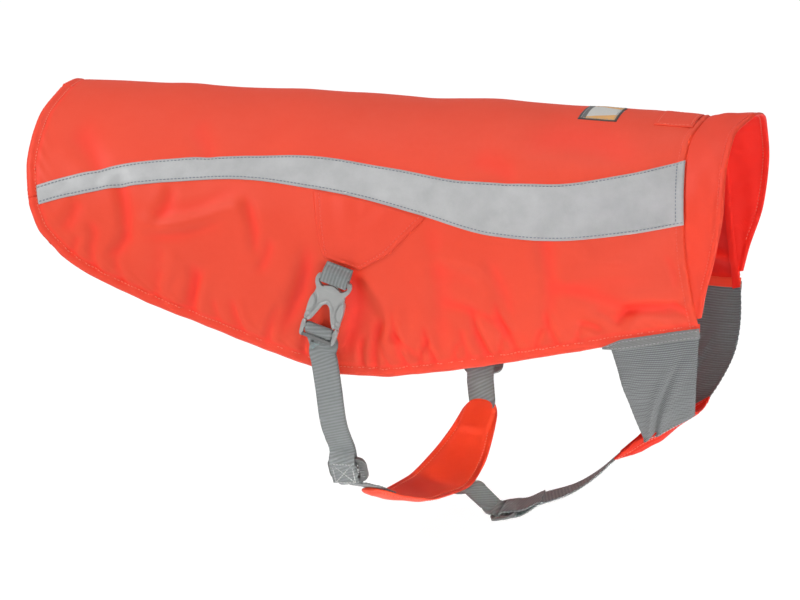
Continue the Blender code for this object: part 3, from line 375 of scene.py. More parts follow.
def crumple(along_it, across_it, size, seed):
    """Soft uneven bumps from -1 to 1, about size millimetres from one to the next."""
    table = np.random.default_rng(seed).uniform(-1.0, 1.0, (64, 64))
    u, v = along_it / size, across_it / size
    i, j = np.floor(u).astype(int), np.floor(v).astype(int)
    s, t = u - i, v - j
    s, t = ease(s), ease(t)
    near = table[i % 64, j % 64] * (1.0 - s) + table[(i + 1) % 64, j % 64] * s
    far = table[i % 64, (j + 1) % 64] * (1.0 - s) + table[(i + 1) % 64, (j + 1) % 64] * s
    return near * (1.0 - t) + far * t


def hem_puckers(table):
    """The puckers as creases between two places (x, z)."""
    rows = []
    for x, height, lean, half, deep in table:
        foot = float(hem_level(float(x))) + HEM_WIDTH + 1.0
        rows.append((x, foot, x + lean, foot + height, half, deep))
    return tuple(rows)


def crease_depth(x, z, table):
    """Valleys along straight lines, each with a lower ridge beside it."""
    depth = 0.0 * x
    for x1, z1, x2, z2, half, deep in table:
        run = np.array([x2 - x1, z2 - z1], float)
        length = np.hypot(*run)
        share = ((x - x1) * run[0] + (z - z1) * run[1]) / length ** 2
        aside = ((x - x1) * run[1] - (z - z1) * run[0]) / length
        bend = aside + 0.06 * length * np.sin(share * math.pi)
        ends = ease(np.clip((share + 0.25) / 0.4, 0, 1) * np.clip((1.25 - share) / 0.5, 0, 1))
        aside = bend / half
        profile = np.exp(-1.3 * aside ** 2) - 0.45 * np.exp(-1.1 * (aside - 1.7) ** 2)
        depth = depth + CREASE_DEPTH * deep * ends * profile
    return depth


def creases(x, turn):
    """How far the creases and puckers go in."""
    z = bare_point(x, turn)[..., 2]
    right = crease_depth(x, z, RIGHT_CREASES + hem_puckers(RIGHT_PUCKERS))
    left = crease_depth(x, z, LEFT_CREASES + hem_puckers(LEFT_PUCKERS))
    share = np.clip(0.5 + turn * 4.0, 0.0, 1.0)
    return right * (1.0 - share) + left * share


def sink(x, turn):
    """How far the worn cloth lies below the smooth form."""
    z = bare_point(x, turn)[..., 2]
    depth = creases(x, turn)
    for fold_x, fold_z, slope, half_length, half_width, deep in FOLDS:
        slope = math.radians(slope)
        length = (x - fold_x) * math.cos(slope) + (z - fold_z) * math.sin(slope)
        width = (z - fold_z) * math.cos(slope) - (x - fold_x) * math.sin(slope)
        spread = (length / half_length) ** 2 + (width / half_width) ** 2
        depth = depth + deep * np.exp(-1.5 * spread)
    girth = turn * TURN_GIRTH
    for run_x, run_girth, start, height in WAVES:
        depth = depth + height * np.sin(x * run_x + girth * run_girth + start)
    run, rise = 0.84 * x + 0.54 * girth, 0.84 * girth - 0.54 * x
    crinkle = 0.80 * np.abs(crumple(run, 0.55 * rise, 31.0, 5))
    crinkle = crinkle + 0.42 * np.abs(crumple(0.8 * x, girth, 16.0, 8))
    lower_down = np.clip((-z - 50.0) / 70.0, 0.0, 1.0)
    return depth + crinkle * (0.40 + 0.60 * lower_down)


def cloth_point(x, turn, out=0.0):
    """Point of the worn cloth's outer face, moved out by a distance."""
    x = np.asarray(x, float)
    turn = np.asarray(turn, float)
    out = np.asarray(out, float)
    return bare_point(x, turn) + form_normal(x, turn) * (out - sink(x, turn))[..., None]


def offset_line(x, turn, distance):
    """Move a line drawn on the form sideways along the cloth by a distance."""
    scale = np.linalg.norm(girth_way(x, turn), axis=-1)
    run_x = np.gradient(x)
    run_girth = np.gradient(turn) * scale
    length = np.maximum(np.hypot(run_x, run_girth), 1e-9)
    return x - distance * run_girth / length, turn + distance * run_x / length / scale


def on_line(line, share):
    points = along(line, share)
    return np.stack([points[..., 0], turn_at(points[..., 0], points[..., 1])], axis=-1)


def seam_line():
    shares = np.linspace(0.0, 1.0, len(STRIPE_TOP))
    return (along(STRIPE_TOP, shares) + along(STRIPE_BOTTOM, shares)) / 2


def spine_line(share):
    x = TAIL_UPPER[0][0] + (NECK_UPPER[0][0] - TAIL_UPPER[0][0]) * np.asarray(share, float)
    return np.stack([x, 0.0 * x], axis=-1)


def coons(top, bottom, tail, neck, across, down):
    """(x, turn) of a patch between four edges; across and down are arrays from 0 to 1."""
    corners = mix(mix(top(0.0), top(1.0), across), mix(bottom(0.0), bottom(1.0), across), down)
    level = mix(top(across), bottom(across), down)
    upright = mix(tail(down), neck(down), across)
    return level + upright - corners


def upper_place(across, down):
    return coons(spine_line, lambda s: on_line(STRIPE_TOP, s),
                 lambda s: on_line(TAIL_UPPER, np.asarray(s) ** 2),
                 lambda s: on_line(NECK_UPPER, np.asarray(s) ** 2), across, down)


def lower_place(across, down):
    return coons(lambda s: on_line(STRIPE_BOTTOM, s), lambda s: on_line(HEM, s),
                 lambda s: on_line(TAIL_LOWER, s), lambda s: on_line(NECK_LOWER, s), across, down)


def nearest(points, line):
    """Distance of each point to the nearest point of a line."""
    flat = points.reshape(-1, 3)
    best = np.empty(len(flat))
    for start in range(0, len(flat), 2000):
        part = flat[start:start + 2000]
        gaps = np.linalg.norm(part[:, None, :] - line[None, :, :], axis=-1)
        best[start:start + 2000] = gaps.min(axis=1)
    return best.reshape(points.shape[:-1])


# ---- materials ----
class Wire:
    """A socket whose arithmetic adds Math nodes."""

    def __init__(self, finish, socket):
        self.finish = finish
        self.socket = socket

    def __add__(self, other):
        return self.finish.math("ADD", self, other)

    __radd__ = __add__

    def __sub__(self, other):
        return self.finish.math("SUBTRACT", self, other)

    def __rsub__(self, other):
        return self.finish.math("SUBTRACT", other, self)

    def __mul__(self, other):
        return self.finish.math("MULTIPLY", self, other)

    __rmul__ = __mul__

    def wave(self, pitch):
        """A sine from 0 to 1 that repeats each pitch."""
        return self.finish.math("SINE", self * (2 * math.pi / pitch)) * 0.5 + 0.5

    def over(self, edge):
        return self.finish.math("GREATER_THAN", self, edge)

    def under(self, edge):
        return self.finish.math("LESS_THAN", self, edge)

    def size(self):
        return self.finish.math("ABSOLUTE", self)


class Finish:
    """A material with one main shader."""

    def __init__(self, name, color, roughness, fixed=None):
        self.material = bpy.data.materials.new(name)
        self.material.use_nodes = True
        self.tree = self.material.node_tree
        self.shader = self.tree.nodes["Principled BSDF"]
        self.shader.inputs["Base Color"].default_value = (*color, 1.0)
        self.shader.inputs["Roughness"].default_value = roughness
        for socket, value in (fixed or {}).items():
            self.shader.inputs[socket].default_value = value

    def plug(self, slot, value):
        if isinstance(value, Wire):
            self.tree.links.new(value.socket, slot)
        elif isinstance(value, tuple) and len(value) == 3 and slot.type == "RGBA":
            slot.default_value = (*value, 1.0)
        else:
            slot.default_value = value

    def node(self, kind, settings=None, values=None, output=0):
        """Add a node: its settings first, then the values or links of its sockets."""
        node = self.tree.nodes.new(kind)
        for name, value in (settings or {}).items():
            setattr(node, name, value)
        for name, value in (values or {}).items():
            self.plug(node.inputs[name], value)
        return Wire(self, node.outputs[output])

    def math(self, operation, *values):
        return self.node("ShaderNodeMath", {"operation": operation}, dict(enumerate(values)))

    def feed(self, socket, wire):
        self.plug(self.shader.inputs[socket], wire)

    def place(self):
        """The cloth coordinates in millimetres: along, across."""
        spot = self.node("ShaderNodeTexCoord", output=2)
        parts = self.tree.nodes.new("ShaderNodeSeparateXYZ")
        self.tree.links.new(spot.socket, parts.inputs[0])
        return Wire(self, parts.outputs[0]) * 1000.0, Wire(self, parts.outputs[1]) * 1000.0

    def cloud(self, scale, detail=2.0, roughness=0.5):
        """Soft noise from the object's own coordinates; scale is in humps per metre."""
        spot = self.node("ShaderNodeTexCoord", output=3)
        return self.node("ShaderNodeTexNoise", values={
            "Vector": spot, "Scale": scale, "Detail": detail, "Roughness": roughness})

    def blend(self, share, first, second):
        return self.node("ShaderNodeMix", {"data_type": "RGBA"}, {0: share, 6: first, 7: second}, 2)

    def relief(self, height, strength, distance):
        self.feed("Normal", self.node("ShaderNodeBump", values={
            "Height": height, "Strength": strength, "Distance": distance}))


def shell_finish(name, lit, deep, sheen, gloss=0.5, folded=(0.97, 0.026, 0.008)):
    """Twill of two tones; the attribute fold mixes in a deeper red, painted shade in the crease
    valleys and along the hem.
    """
    finish = Finish(name, lit, 0.5, {
        "Specular IOR Level": gloss, "Sheen Weight": sheen, "Sheen Roughness": 0.45,
        "Sheen Tint": (1.0, 0.45, 0.3, 1.0)})
    run, across = finish.place()
    twill = (run + across).wave(1.05)
    slub = finish.cloud(900.0, 3.0)
    wear = finish.cloud(34.0, 5.0, 0.62)
    shade = twill * 0.20 + slub * 0.30 + wear * 0.5
    # Painted shade: where the attribute fold is set, the colour turns towards the deeper red given
    # as folded.
    fold = finish.node("ShaderNodeAttribute", {"attribute_name": "fold"}, output=2)
    finish.feed("Base Color", finish.blend(fold, finish.blend(shade, lit, deep), folded))
    finish.feed("Roughness", wear * 0.14 + 0.54)
    finish.relief(twill * 0.7 + slub * 0.5, 0.35, 0.00018)
    return finish.material


def tape_finish():
    light, grey = (0.60, 0.605, 0.61), (0.30, 0.305, 0.31)
    finish = Finish("reflective_tape", light, 0.46)
    run, across = finish.place()
    beads = finish.cloud(2600.0, 2.0)
    crinkle_shade_mottle = finish.cloud(45.0, 6.0, 0.62)
    grid = (run + across).wave(0.9) * (run - across).wave(0.9)
    # The large noise gives the tape an uneven tone, partly painted crinkle shade and painted light
    # streaks.
    finish.feed("Base Color", finish.blend(beads * 0.25 + (crinkle_shade_mottle - 0.5) * 0.8 + 0.40, light, grey))
    finish.feed("Roughness", crinkle_shade_mottle * 0.16 + 0.44)
    finish.relief(grid + beads * 0.6, 0.25, 0.0001)
    return finish.material


def knit_finish(name, light, dark, pitch):
    finish = Finish(name, light, 0.78, {"Sheen Weight": 0.15})
    run, across = finish.place()
    ribs = across.wave(pitch)
    loops = run.wave(pitch * 0.62)
    cell = ribs * (loops * 0.5 + 0.5)
    wear = finish.cloud(60.0, 3.0)
    finish.feed("Base Color", finish.blend(1.0 - cell * 0.85 - wear * 0.15, light, dark))
    finish.relief(cell, 0.8, 0.0004)
    return finish.material


def webbing_finish(name, pitch, lengthwise=False, light=(0.285, 0.305, 0.305),
                   dark=(0.10, 0.110, 0.110)):
    finish = Finish(name, light, 0.62, {"Sheen Weight": 0.2, "Sheen Roughness": 0.4})
    run, across = finish.place()
    ribs = across.wave(pitch) if lengthwise else (run + across * RIB_SLANT).wave(pitch)
    threads = (across if not lengthwise else run).wave(0.75)
    wear = finish.cloud(90.0, 3.0)
    # Painted shade along both long edges of the webbing, where it rounds away.
    edge = finish.math("MAXIMUM", across.size() - 8.9, 0.0)
    shade = (1.0 - ribs) * 0.42 + (1.0 - threads) * 0.12 + wear * 0.3 + edge * 0.25
    finish.feed("Base Color", finish.blend(shade, light, dark))
    finish.feed("Roughness", wear * 0.2 + 0.5)
    finish.relief(ribs + threads * 0.35, 0.6, 0.0003)
    return finish.material


def plastic_finish(name, light, dark):
    finish = Finish(name, light, 0.38)
    grain = finish.cloud(1800.0, 2.0)
    wear = finish.cloud(70.0, 3.0)
    finish.feed("Base Color", finish.blend(wear * 0.6, light, dark))
    finish.feed("Roughness", wear * 0.18 + 0.3)
    finish.relief(grain, 0.12, 0.0001)
    return finish.material


def thread_finish(name, light, dark):
    finish = Finish(name, light, 0.6, {"Sheen Weight": 0.2})
    finish.feed("Base Color", finish.blend(finish.cloud(1200.0, 2.0), light, dark))
    finish.relief(finish.cloud(2500.0, 1.0), 0.3, 0.0001)
    return finish.material


def label_finish():
    paper, frame_tone, warm = (0.62, 0.61, 0.58), (0.035, 0.035, 0.038), (0.78, 0.36, 0.05)
    finish = Finish("plain_label", paper, 0.62, {"Sheen Weight": 0.15})
    run, across = finish.place()
    middle = (LABEL_X[1] - LABEL_X[0]) / 2
    from_edge = (run - middle).size()
    border = finish.math("MAXIMUM", from_edge.over(middle - LABEL_BORDER),
                         across.size().over(LABEL_HALF - LABEL_BORDER))
    block = (across.size() + (run - middle) * 0.35).over(11.5)
    threads = run.wave(0.5) * across.wave(0.5)
    tone = finish.blend(block * 0.9, paper, warm)
    tone = finish.blend(run.under(5.5) * 0.85, tone, frame_tone)
    tone = finish.blend(border * 0.95, tone, frame_tone)
    finish.feed("Base Color", finish.blend(threads * 0.2, tone, frame_tone))
    finish.relief(threads + border * 1.5, 0.5, 0.0002)
    return finish.material


ORANGE = (0.85, 0.065, 0.0205)
ORANGE_DEEP = (0.79, 0.043, 0.0105)
VEST = shell_finish("vest_cloth", ORANGE, ORANGE_DEEP, 0.07)
PATCH = shell_finish("patch_cloth", (0.865, 0.061, 0.021), ORANGE_DEEP, 0.08)
COLLAR = shell_finish("collar_cloth", (0.85, 0.050, 0.014), (0.77, 0.032, 0.007), 0.06)
# Inner faces: copies of the cloth with less gloss and a deeper red, partly the back of the cloth,
# partly painted shade and painted orange bounce light inside the vest.
VEST_INSIDE_SHADED = shell_finish("vest_cloth_inside_shaded", (0.72, 0.024, 0.018), (0.66, 0.018, 0.012),
                           0.0, 0.2)
COLLAR_INSIDE_SHADED = shell_finish("collar_cloth_inside_shaded", (0.90, 0.026, 0.014), (0.84, 0.019, 0.010),
                             0.0, 0.2)
# The chest strip's cloth: a darker, less glossy copy of the shell cloth, painted shade for its
# place under the chest.
STRIP_CLOTH_SHADED = shell_finish("strip_cloth", (0.80, 0.031, 0.008), (0.74, 0.022, 0.006), 0.0, 0.25)
# The pad's cloth: a lighter copy of the shell cloth, painted light on the pad that the vest shades.
PAD_CLOTH_LIGHTENED = shell_finish("pad_cloth", (0.93, 0.072, 0.0195), (0.87, 0.052, 0.013), 0.06)
TAPE = tape_finish()
KNIT = knit_finish("rib_knit", (0.31, 0.325, 0.328), (0.065, 0.070, 0.071), 1.9)
# The knit's inner face: a bluer, less bright tone, painted shade with a tint that cancels the
# orange bounce light inside the vest.
KNIT_INSIDE_SHADE_TINT = knit_finish("rib_knit_inside_shade_tint", (0.17, 0.230, 0.235), (0.080, 0.112, 0.114), 1.9)
BINDING = knit_finish("knit_tape", (0.30, 0.305, 0.30), (0.15, 0.152, 0.15), 1.2)
WEBBING = webbing_finish("ribbed_webbing", RIB_PITCH)
# Faces of the webbing turned in towards the loop: a lighter, blue-green copy, painted light that
# cancels the orange bounce light from the shell.
WEBBING_INSIDE_LIGHT_TINT = webbing_finish("webbing_inside_light_tint", RIB_PITCH, light=(0.27, 0.36, 0.36),
                                dark=(0.10, 0.134, 0.134))
TAB_WEBBING = webbing_finish("tab_webbing", 2.5, lengthwise=True)
PLASTIC = plastic_finish("moulded_plastic", (0.36, 0.365, 0.36), (0.27, 0.275, 0.27))
# A darker copy of the plastic: painted shade for the adjusters and the plug's lower bar.
SHADED_PLASTIC = plastic_finish("shaded_plastic", (0.155, 0.157, 0.155), (0.105, 0.107, 0.105))
VEST_THREAD = thread_finish("vest_thread", (0.94, 0.20, 0.11), (0.89, 0.13, 0.07))
SEAM_THREAD = thread_finish("seam_thread", (0.88, 0.095, 0.045), (0.82, 0.06, 0.025))
TAPE_THREAD = thread_finish("tape_thread", (0.24, 0.27, 0.31), (0.15, 0.175, 0.21))
GREY_THREAD = thread_finish("grey_thread", (0.42, 0.42, 0.41), (0.30, 0.30, 0.30))
PALE_THREAD = thread_finish("pale_thread", (0.62, 0.62, 0.61), (0.46, 0.46, 0.46))
LABEL_CLOTH = label_finish()


# ---- meshes ----
def add_mesh(name, points, faces, finish, places=None):
    mesh = bpy.data.meshes.new(name)
    mesh.from_pydata((np.asarray(points, float) * MM).tolist(), [], [tuple(f) for f in faces])
    if places is not None:
        layer = mesh.uv_layers.new(name="cut")
        corner = np.empty(len(mesh.loops), dtype=np.int32)
        mesh.loops.foreach_get("vertex_index", corner)
        layer.data.foreach_set("uv", (np.asarray(places, float)[corner] * MM).ravel())
    mesh.materials.append(finish)
    mesh.shade_smooth()
    piece = bpy.data.objects.new(name, mesh)
    bpy.context.scene.collection.objects.link(piece)
    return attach(piece, BODY)


def stand_in(piece, node):
    """Let a piece take the place of a solid, which is hidden."""
    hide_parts(node)
    return piece


def close_ends(piece):
    """Fill the open ends of a tube and turn its faces outward."""
    work = bmesh.new()
    work.from_mesh(piece.data)
    bmesh.ops.holes_fill(work, edges=[e for e in work.edges if e.is_boundary])
    bmesh.ops.recalc_face_normals(work, faces=work.faces[:])
    work.to_mesh(piece.data)
    work.free()
    piece.data.shade_smooth()


def grid_faces(rows, columns, closed=False, flip=False):
    last = rows if closed else rows - 1
    r, c = np.meshgrid(np.arange(last), np.arange(columns - 1), indexing="ij")
    after = (r + 1) % rows
    quads = np.stack([r * columns + c, after * columns + c, after * columns + c + 1,
                      r * columns + c + 1], axis=-1).reshape(-1, 4)
    return (quads[:, ::-1] if flip else quads).tolist()


def lengths_of(points, axis):
    gaps = np.linalg.norm(np.diff(points, axis=axis), axis=-1)
    start = np.zeros_like(np.take(gaps, [0], axis=axis))
    return np.concatenate([start, np.cumsum(gaps, axis=axis)], axis=axis)


def cloth_sheet(name, points, finish, outward, thickness=CLOTH, closed=False, places=None,
                inside=None):
    """A sheet from a grid of points; outward is the way that most of it faces."""
    rows, columns = points.shape[:2]
    start = points[:-1, :-1]
    facing = np.cross(points[1:, :-1] - start, points[:-1, 1:] - start).sum(axis=(0, 1))
    flip = float(np.dot(facing, outward)) < 0.0
    if places is None:
        places = np.stack([lengths_of(points, 1), lengths_of(points, 0)], axis=-1)
    piece = add_mesh(name, points.reshape(-1, 3), grid_faces(rows, columns, closed, flip), finish,
                     places.reshape(-1, 2))
    if thickness:
        wall = piece.modifiers.new("thickness", "SOLIDIFY")
        wall.thickness = thickness * MM
        wall.offset = -1.0
        if inside:
            piece.data.materials.append(inside)
            wall.material_offset = 1
    return piece


def span(piece_points):
    """Width and length of a grid of points, in metres, and its area in square metres."""
    across = lengths_of(piece_points, 0)[-1].max() * MM
    run = lengths_of(piece_points, 1)[:, -1].max() * MM
    a = piece_points[1:, 1:] - piece_points[:-1, :-1]
    b = piece_points[1:, :-1] - piece_points[:-1, 1:]
    area = 0.5 * np.linalg.norm(np.cross(a, b), axis=-1).sum() * MM * MM
    return round(float(across), 4), round(float(run), 4), round(float(area), 5)


def declare(piece, points):
    """Work out the width, length and area of a piece's grid; they are not used further."""
    width, length, area = span(points)
    width = max(width, 0.0101)
    area = min(max(area, 0.301 * width * length), width * length)
    return piece


# ---- sewing ----
def thread_shape():
    rings = ((-0.5, 0.35), (-0.36, 1.0), (0.36, 1.0), (0.5, 0.35))
    verts, faces = [], []
    for place, girth in rings:
        for k in range(6):
            angle = k * math.pi / 3
            verts.append((place, girth * math.cos(angle), girth * math.sin(angle)))
    for ring in range(len(rings) - 1):
        for k in range(6):
            a, b = ring * 6 + k, ring * 6 + (k + 1) % 6
            faces.append((a, b, b + 6, a + 6))
    faces.append(tuple(range(5, -1, -1)))
    faces.append(tuple(range(18, 24)))
    return np.array(verts), faces


THREAD_VERTS, THREAD_FACES = thread_shape()


class Sewing:
    """Rows of single stitches gathered into one piece."""

    def __init__(self, name, finish, step=STITCH_STEP, length=STITCH, thick=THREAD):
        self.name, self.finish = name, finish
        self.step, self.length, self.thick = step, length, thick
        self.verts, self.faces = [], []

    def row(self, points, normals, rise=0.0):
        lengths = chord_lengths(points)
        count = int((lengths[-1] - self.length) / self.step) + 1
        if count < 1:
            return
        start = (lengths[-1] - (count - 1) * self.step) / 2
        at = start + self.step * np.arange(count)
        middle = np.stack([np.interp(at, lengths, points[:, k]) for k in range(3)], -1)
        ahead = np.stack([np.interp(at + 1.0, lengths, points[:, k]) for k in range(3)], -1)
        behind = np.stack([np.interp(at - 1.0, lengths, points[:, k]) for k in range(3)], -1)
        up = unit(np.stack([np.interp(at, lengths, normals[:, k]) for k in range(3)], -1))
        run = unit(ahead - behind)
        wide = unit(np.cross(up, run))
        for p, t, w, n in zip(middle + up * rise, run, wide, up):
            base = len(self.verts)
            shape = (THREAD_VERTS[:, :1] * t * self.length
                     + THREAD_VERTS[:, 1:2] * w * self.thick * THREAD_FLATNESS
                     + THREAD_VERTS[:, 2:3] * n * self.thick)
            self.verts.extend((p + shape).tolist())
            self.faces.extend([tuple(v + base for v in f) for f in THREAD_FACES])

    def on_shell(self, places, out, rise=0.1):
        """A row along (x, turn) places on the worn cloth."""
        x, turn = places[..., 0], places[..., 1]
        self.row(cloth_point(x, turn, out), form_normal(x, turn), rise)

    def build(self):
        piece = add_mesh(self.name, self.verts, self.faces, self.finish)
        return piece


# ---- shell panels ----
SHARES = np.linspace(0.0, 1.0, 221)


def side_of(places, side):
    places = np.array(places, float)
    places[..., 1] *= side
    return places


def outline(side):
    """(x, turn) of the tail edge and the hem of one side, spine to neck."""
    upper = on_line(TAIL_UPPER, (np.linspace(0.0, 1.0, 160) ** 2)[1:])
    between = on_line((TAIL_UPPER[-1], TAIL_LOWER[0]), np.linspace(0.0, 1.0, 8)[1:-1])
    lower = on_line(TAIL_LOWER, np.linspace(0.0, 1.0, 30))
    hem = on_line(HEM, np.linspace(0.0, 1.0, 420))[1:]
    return side_of(np.concatenate([upper, between, lower, hem]), side)


def neck_places(side):
    """(x, turn) of the neck seam of one side, spine to throat."""
    upper = on_line(NECK_UPPER, np.linspace(0.03, 1.0, 60) ** 2)
    between = on_line((NECK_UPPER[-1], NECK_LOWER[0]), np.linspace(0.0, 1.0, 24)[1:-1])
    lower = on_line(NECK_LOWER, np.linspace(0.0, 1.0, 80))
    return side_of(np.concatenate([upper, between, lower]), side)


HEM_HUMPS = (               # height, distance in from the edge, half width
    (0.8, 3.0, 2.3), (-1.1, HEM_STITCH + 0.5, 1.1), (-0.8, 0.0, 0.7),
)
NECK_HUMPS = (              # the same from the neck seam
    (0.75, 2.6, 2.0), (-0.7, NECK_STITCH, 1.2), (-0.45, 0.0, 0.8),
)


def edge_puff(edge, girth):
    """Rise of the cloth near its folded edge: a soft roll, the groove, small puckers."""
    pucker = np.sin(girth * 0.62 + 2.0 * np.sin(girth * 0.09)) * np.sin(girth * 0.043 + 1.0)
    return humps(edge, HEM_HUMPS) + 0.5 * pucker * bump_at(edge, 8.5, 6.0)


def neck_puff(edge, girth):
    """Rise of the cloth beside the neck seam, in the same way."""
    pucker = np.sin(girth * 0.5 + 1.7 * np.sin(girth * 0.11))
    return humps(edge, NECK_HUMPS) + 0.2 * pucker * bump_at(edge, 7.0, 4.0)


def shell_rise(places):
    """Rise of the cloth near the hem and neck seam at (x, turn), and the distance to the hem."""
    x, turn = places[..., 0], places[..., 1]
    points = bare_point(x, turn)
    rise = 0.0 * x
    to_hem = 0.0 * x + FAR_OFF
    for side in (-1, 1):
        here = turn * side > -0.05
        if not here.any():
            continue
        hem, neck = (nearest(points[here], bare_point(edge[:, 0], edge[:, 1]))
                     for edge in (outline(side), neck_places(side)))
        level = points[here][:, 2]
        rise[here] = edge_puff(hem, x[here] + level) + neck_puff(neck, level)
        to_hem[here] = np.minimum(to_hem[here], hem)
    return rise, to_hem


def paint_fold_shade(piece, places, hem):
    """Paint shade into the valleys of the creases and along the hem, as the attribute fold that
    deepens the cloth's red there.
    """
    valley_shade = np.clip(creases(places[..., 0], places[..., 1]) / CREASE_DEPTH, 0.0, 1.0) * 0.85
    # Painted shade along the hem: a little over the doubled band, more just beyond its row of
    # stitches.
    doubled = 0.22 * np.clip(7.0 - hem, 0.0, 1.0) + 0.45 * bump_at(hem, 8.2, 1.3)
    tone = np.clip(valley_shade + doubled, 0.0, 1.0)
    mark = piece.data.attributes.new("fold", "FLOAT", "POINT")
    mark.data.foreach_set("value", tone.ravel().astype(np.float32))


NEAR_SPINE = 12             # rows beside the spine line that are spread evenly


def build_back():
    """The back panel, both sides of the spine in one, down to the seams under the stripes."""
    rows = 62
    across, down = np.meshgrid(SHARES, np.linspace(0.0, 1.0, rows), indexing="ij")
    upper = upper_place(across.T, down.T)
    seam = seam_line()
    top = on_line(STRIPE_TOP, SHARES)
    middle = on_line(seam, SHARES)
    under = np.stack([top + (middle - top) * k / 6 for k in range(1, 7)])
    half = np.concatenate([upper, under])
    for row in range(1, NEAR_SPINE):
        half[row] = half[0] + (half[NEAR_SPINE] - half[0]) * row / NEAR_SPINE
    places = np.concatenate([side_of(half[::-1], 1)[:-1], side_of(half, -1)])
    rise, to_hem = shell_rise(places)
    points = cloth_point(places[..., 0], places[..., 1], rise)
    piece = cloth_sheet("back_cloth", points, VEST, (0.0, 0.0, 1.0), inside=VEST_INSIDE_SHADED)
    paint_fold_shade(piece, places, to_hem)
    stand_in(piece, "back_panel")
    return piece, points


def build_side(side, end):
    """A side panel; its first rows lie under the back panel along the seam."""
    rows = 56
    across, down = np.meshgrid(SHARES, np.linspace(0.0, 1.0, rows), indexing="ij")
    lower = lower_place(across.T, down.T)
    bottom = on_line(STRIPE_BOTTOM, SHARES)
    middle = on_line(seam_line(), SHARES)
    lap = middle.copy()
    lap[:, 1] -= 3.0 / BELOW_WIDEST
    under = np.stack([lap, middle] + [middle + (bottom - middle) * k / 5 for k in range(1, 5)])
    places = side_of(np.concatenate([under, lower]), side)
    rise, to_hem = shell_rise(places)
    rise[0] -= 0.55
    rise[1] -= 0.48
    points = cloth_point(places[..., 0], places[..., 1], rise)
    piece = cloth_sheet("side_cloth_" + end, points, VEST, (0.0, float(side), 0.0),
                        inside=VEST_INSIDE_SHADED)
    paint_fold_shade(piece, places, to_hem)
    stand_in(piece, "side_panel_" + end)
    return piece, points


WELT_PROFILE = (            # distance in from the neck seam, depth below the outer face
    (0.2, 0.8), (0.1, 2.0), (0.6, 3.0), (1.6, 3.3), (3.0, 3.1), (4.4, 2.7), (5.6, 2.2),
    (6.0, 1.4), (5.8, 0.9),
)
HEM_PROFILE = (             # distance in from the edge, depth below the outer face
    (0.5, 0.15), (0.12, 0.45), (0.0, 0.85), (0.15, 1.25), (0.6, 1.6), (1.6, 1.75), (3.4, 1.7),
    (5.4, 1.55), (6.9, 1.5), (7.2, 1.15),
)


def build_hem(side, end):
    """The edge folded under along the tail and the hem, and its row of stitches."""
    edge = outline(side)
    x, turn = edge[:, 0], edge[:, 1]
    lines = []
    for inward, depth in HEM_PROFILE:
        x2, turn2 = offset_line(x, turn, -side * inward)
        rise = 0.0 * x2
        if inward < 1.0:
            rise = edge_puff(np.full(len(x), inward), x2 + bare_point(x2, turn2)[:, 2])
        lines.append(cloth_point(x2, turn2, rise - depth))
    points = np.stack(lines)
    middle = points.shape[1] // 2
    facing = form_normal(x, turn)[middle] * -1.0
    piece = cloth_sheet("hem_fold_" + end, points, VEST, facing, thickness=0.0)
    sewing = Sewing("hem_stitches_" + end, VEST_THREAD)
    x2, turn2 = offset_line(x, turn, -side * HEM_STITCH)
    stitched = np.stack([x2, turn2], -1)[4:-3]
    groove = edge_puff(np.full(len(stitched), HEM_STITCH), stitched[:, 0])
    sewing.on_shell(stitched, groove, 0.08)
    sewing.build()
    sewing = Sewing("neck_stitches_" + end, SEAM_THREAD)
    neck = neck_places(side)
    x3, turn3 = offset_line(neck[:, 0], neck[:, 1], side * NECK_STITCH)
    sewing.on_shell(np.stack([x3, turn3], -1)[2:], -0.35, 0.12)
    sewing.build()
    return piece


def build_neck_welt(side, end):
    """The seam allowance of the neck seam, bound and standing a little on the inside."""
    neck = neck_places(side)
    lines = []
    for inward, depth in WELT_PROFILE:
        x2, turn2 = offset_line(neck[:, 0], neck[:, 1], side * inward)
        lines.append(cloth_point(x2, turn2, -depth + 0.0 * x2))
    points = np.stack(lines)
    middle = points.shape[1] // 2
    facing = form_normal(neck[middle:middle + 1, 0], neck[middle:middle + 1, 1])[0] * -1.0
    piece = cloth_sheet("neck_welt_" + end, points, COLLAR_INSIDE_SHADED, facing, thickness=0.0)
    return piece


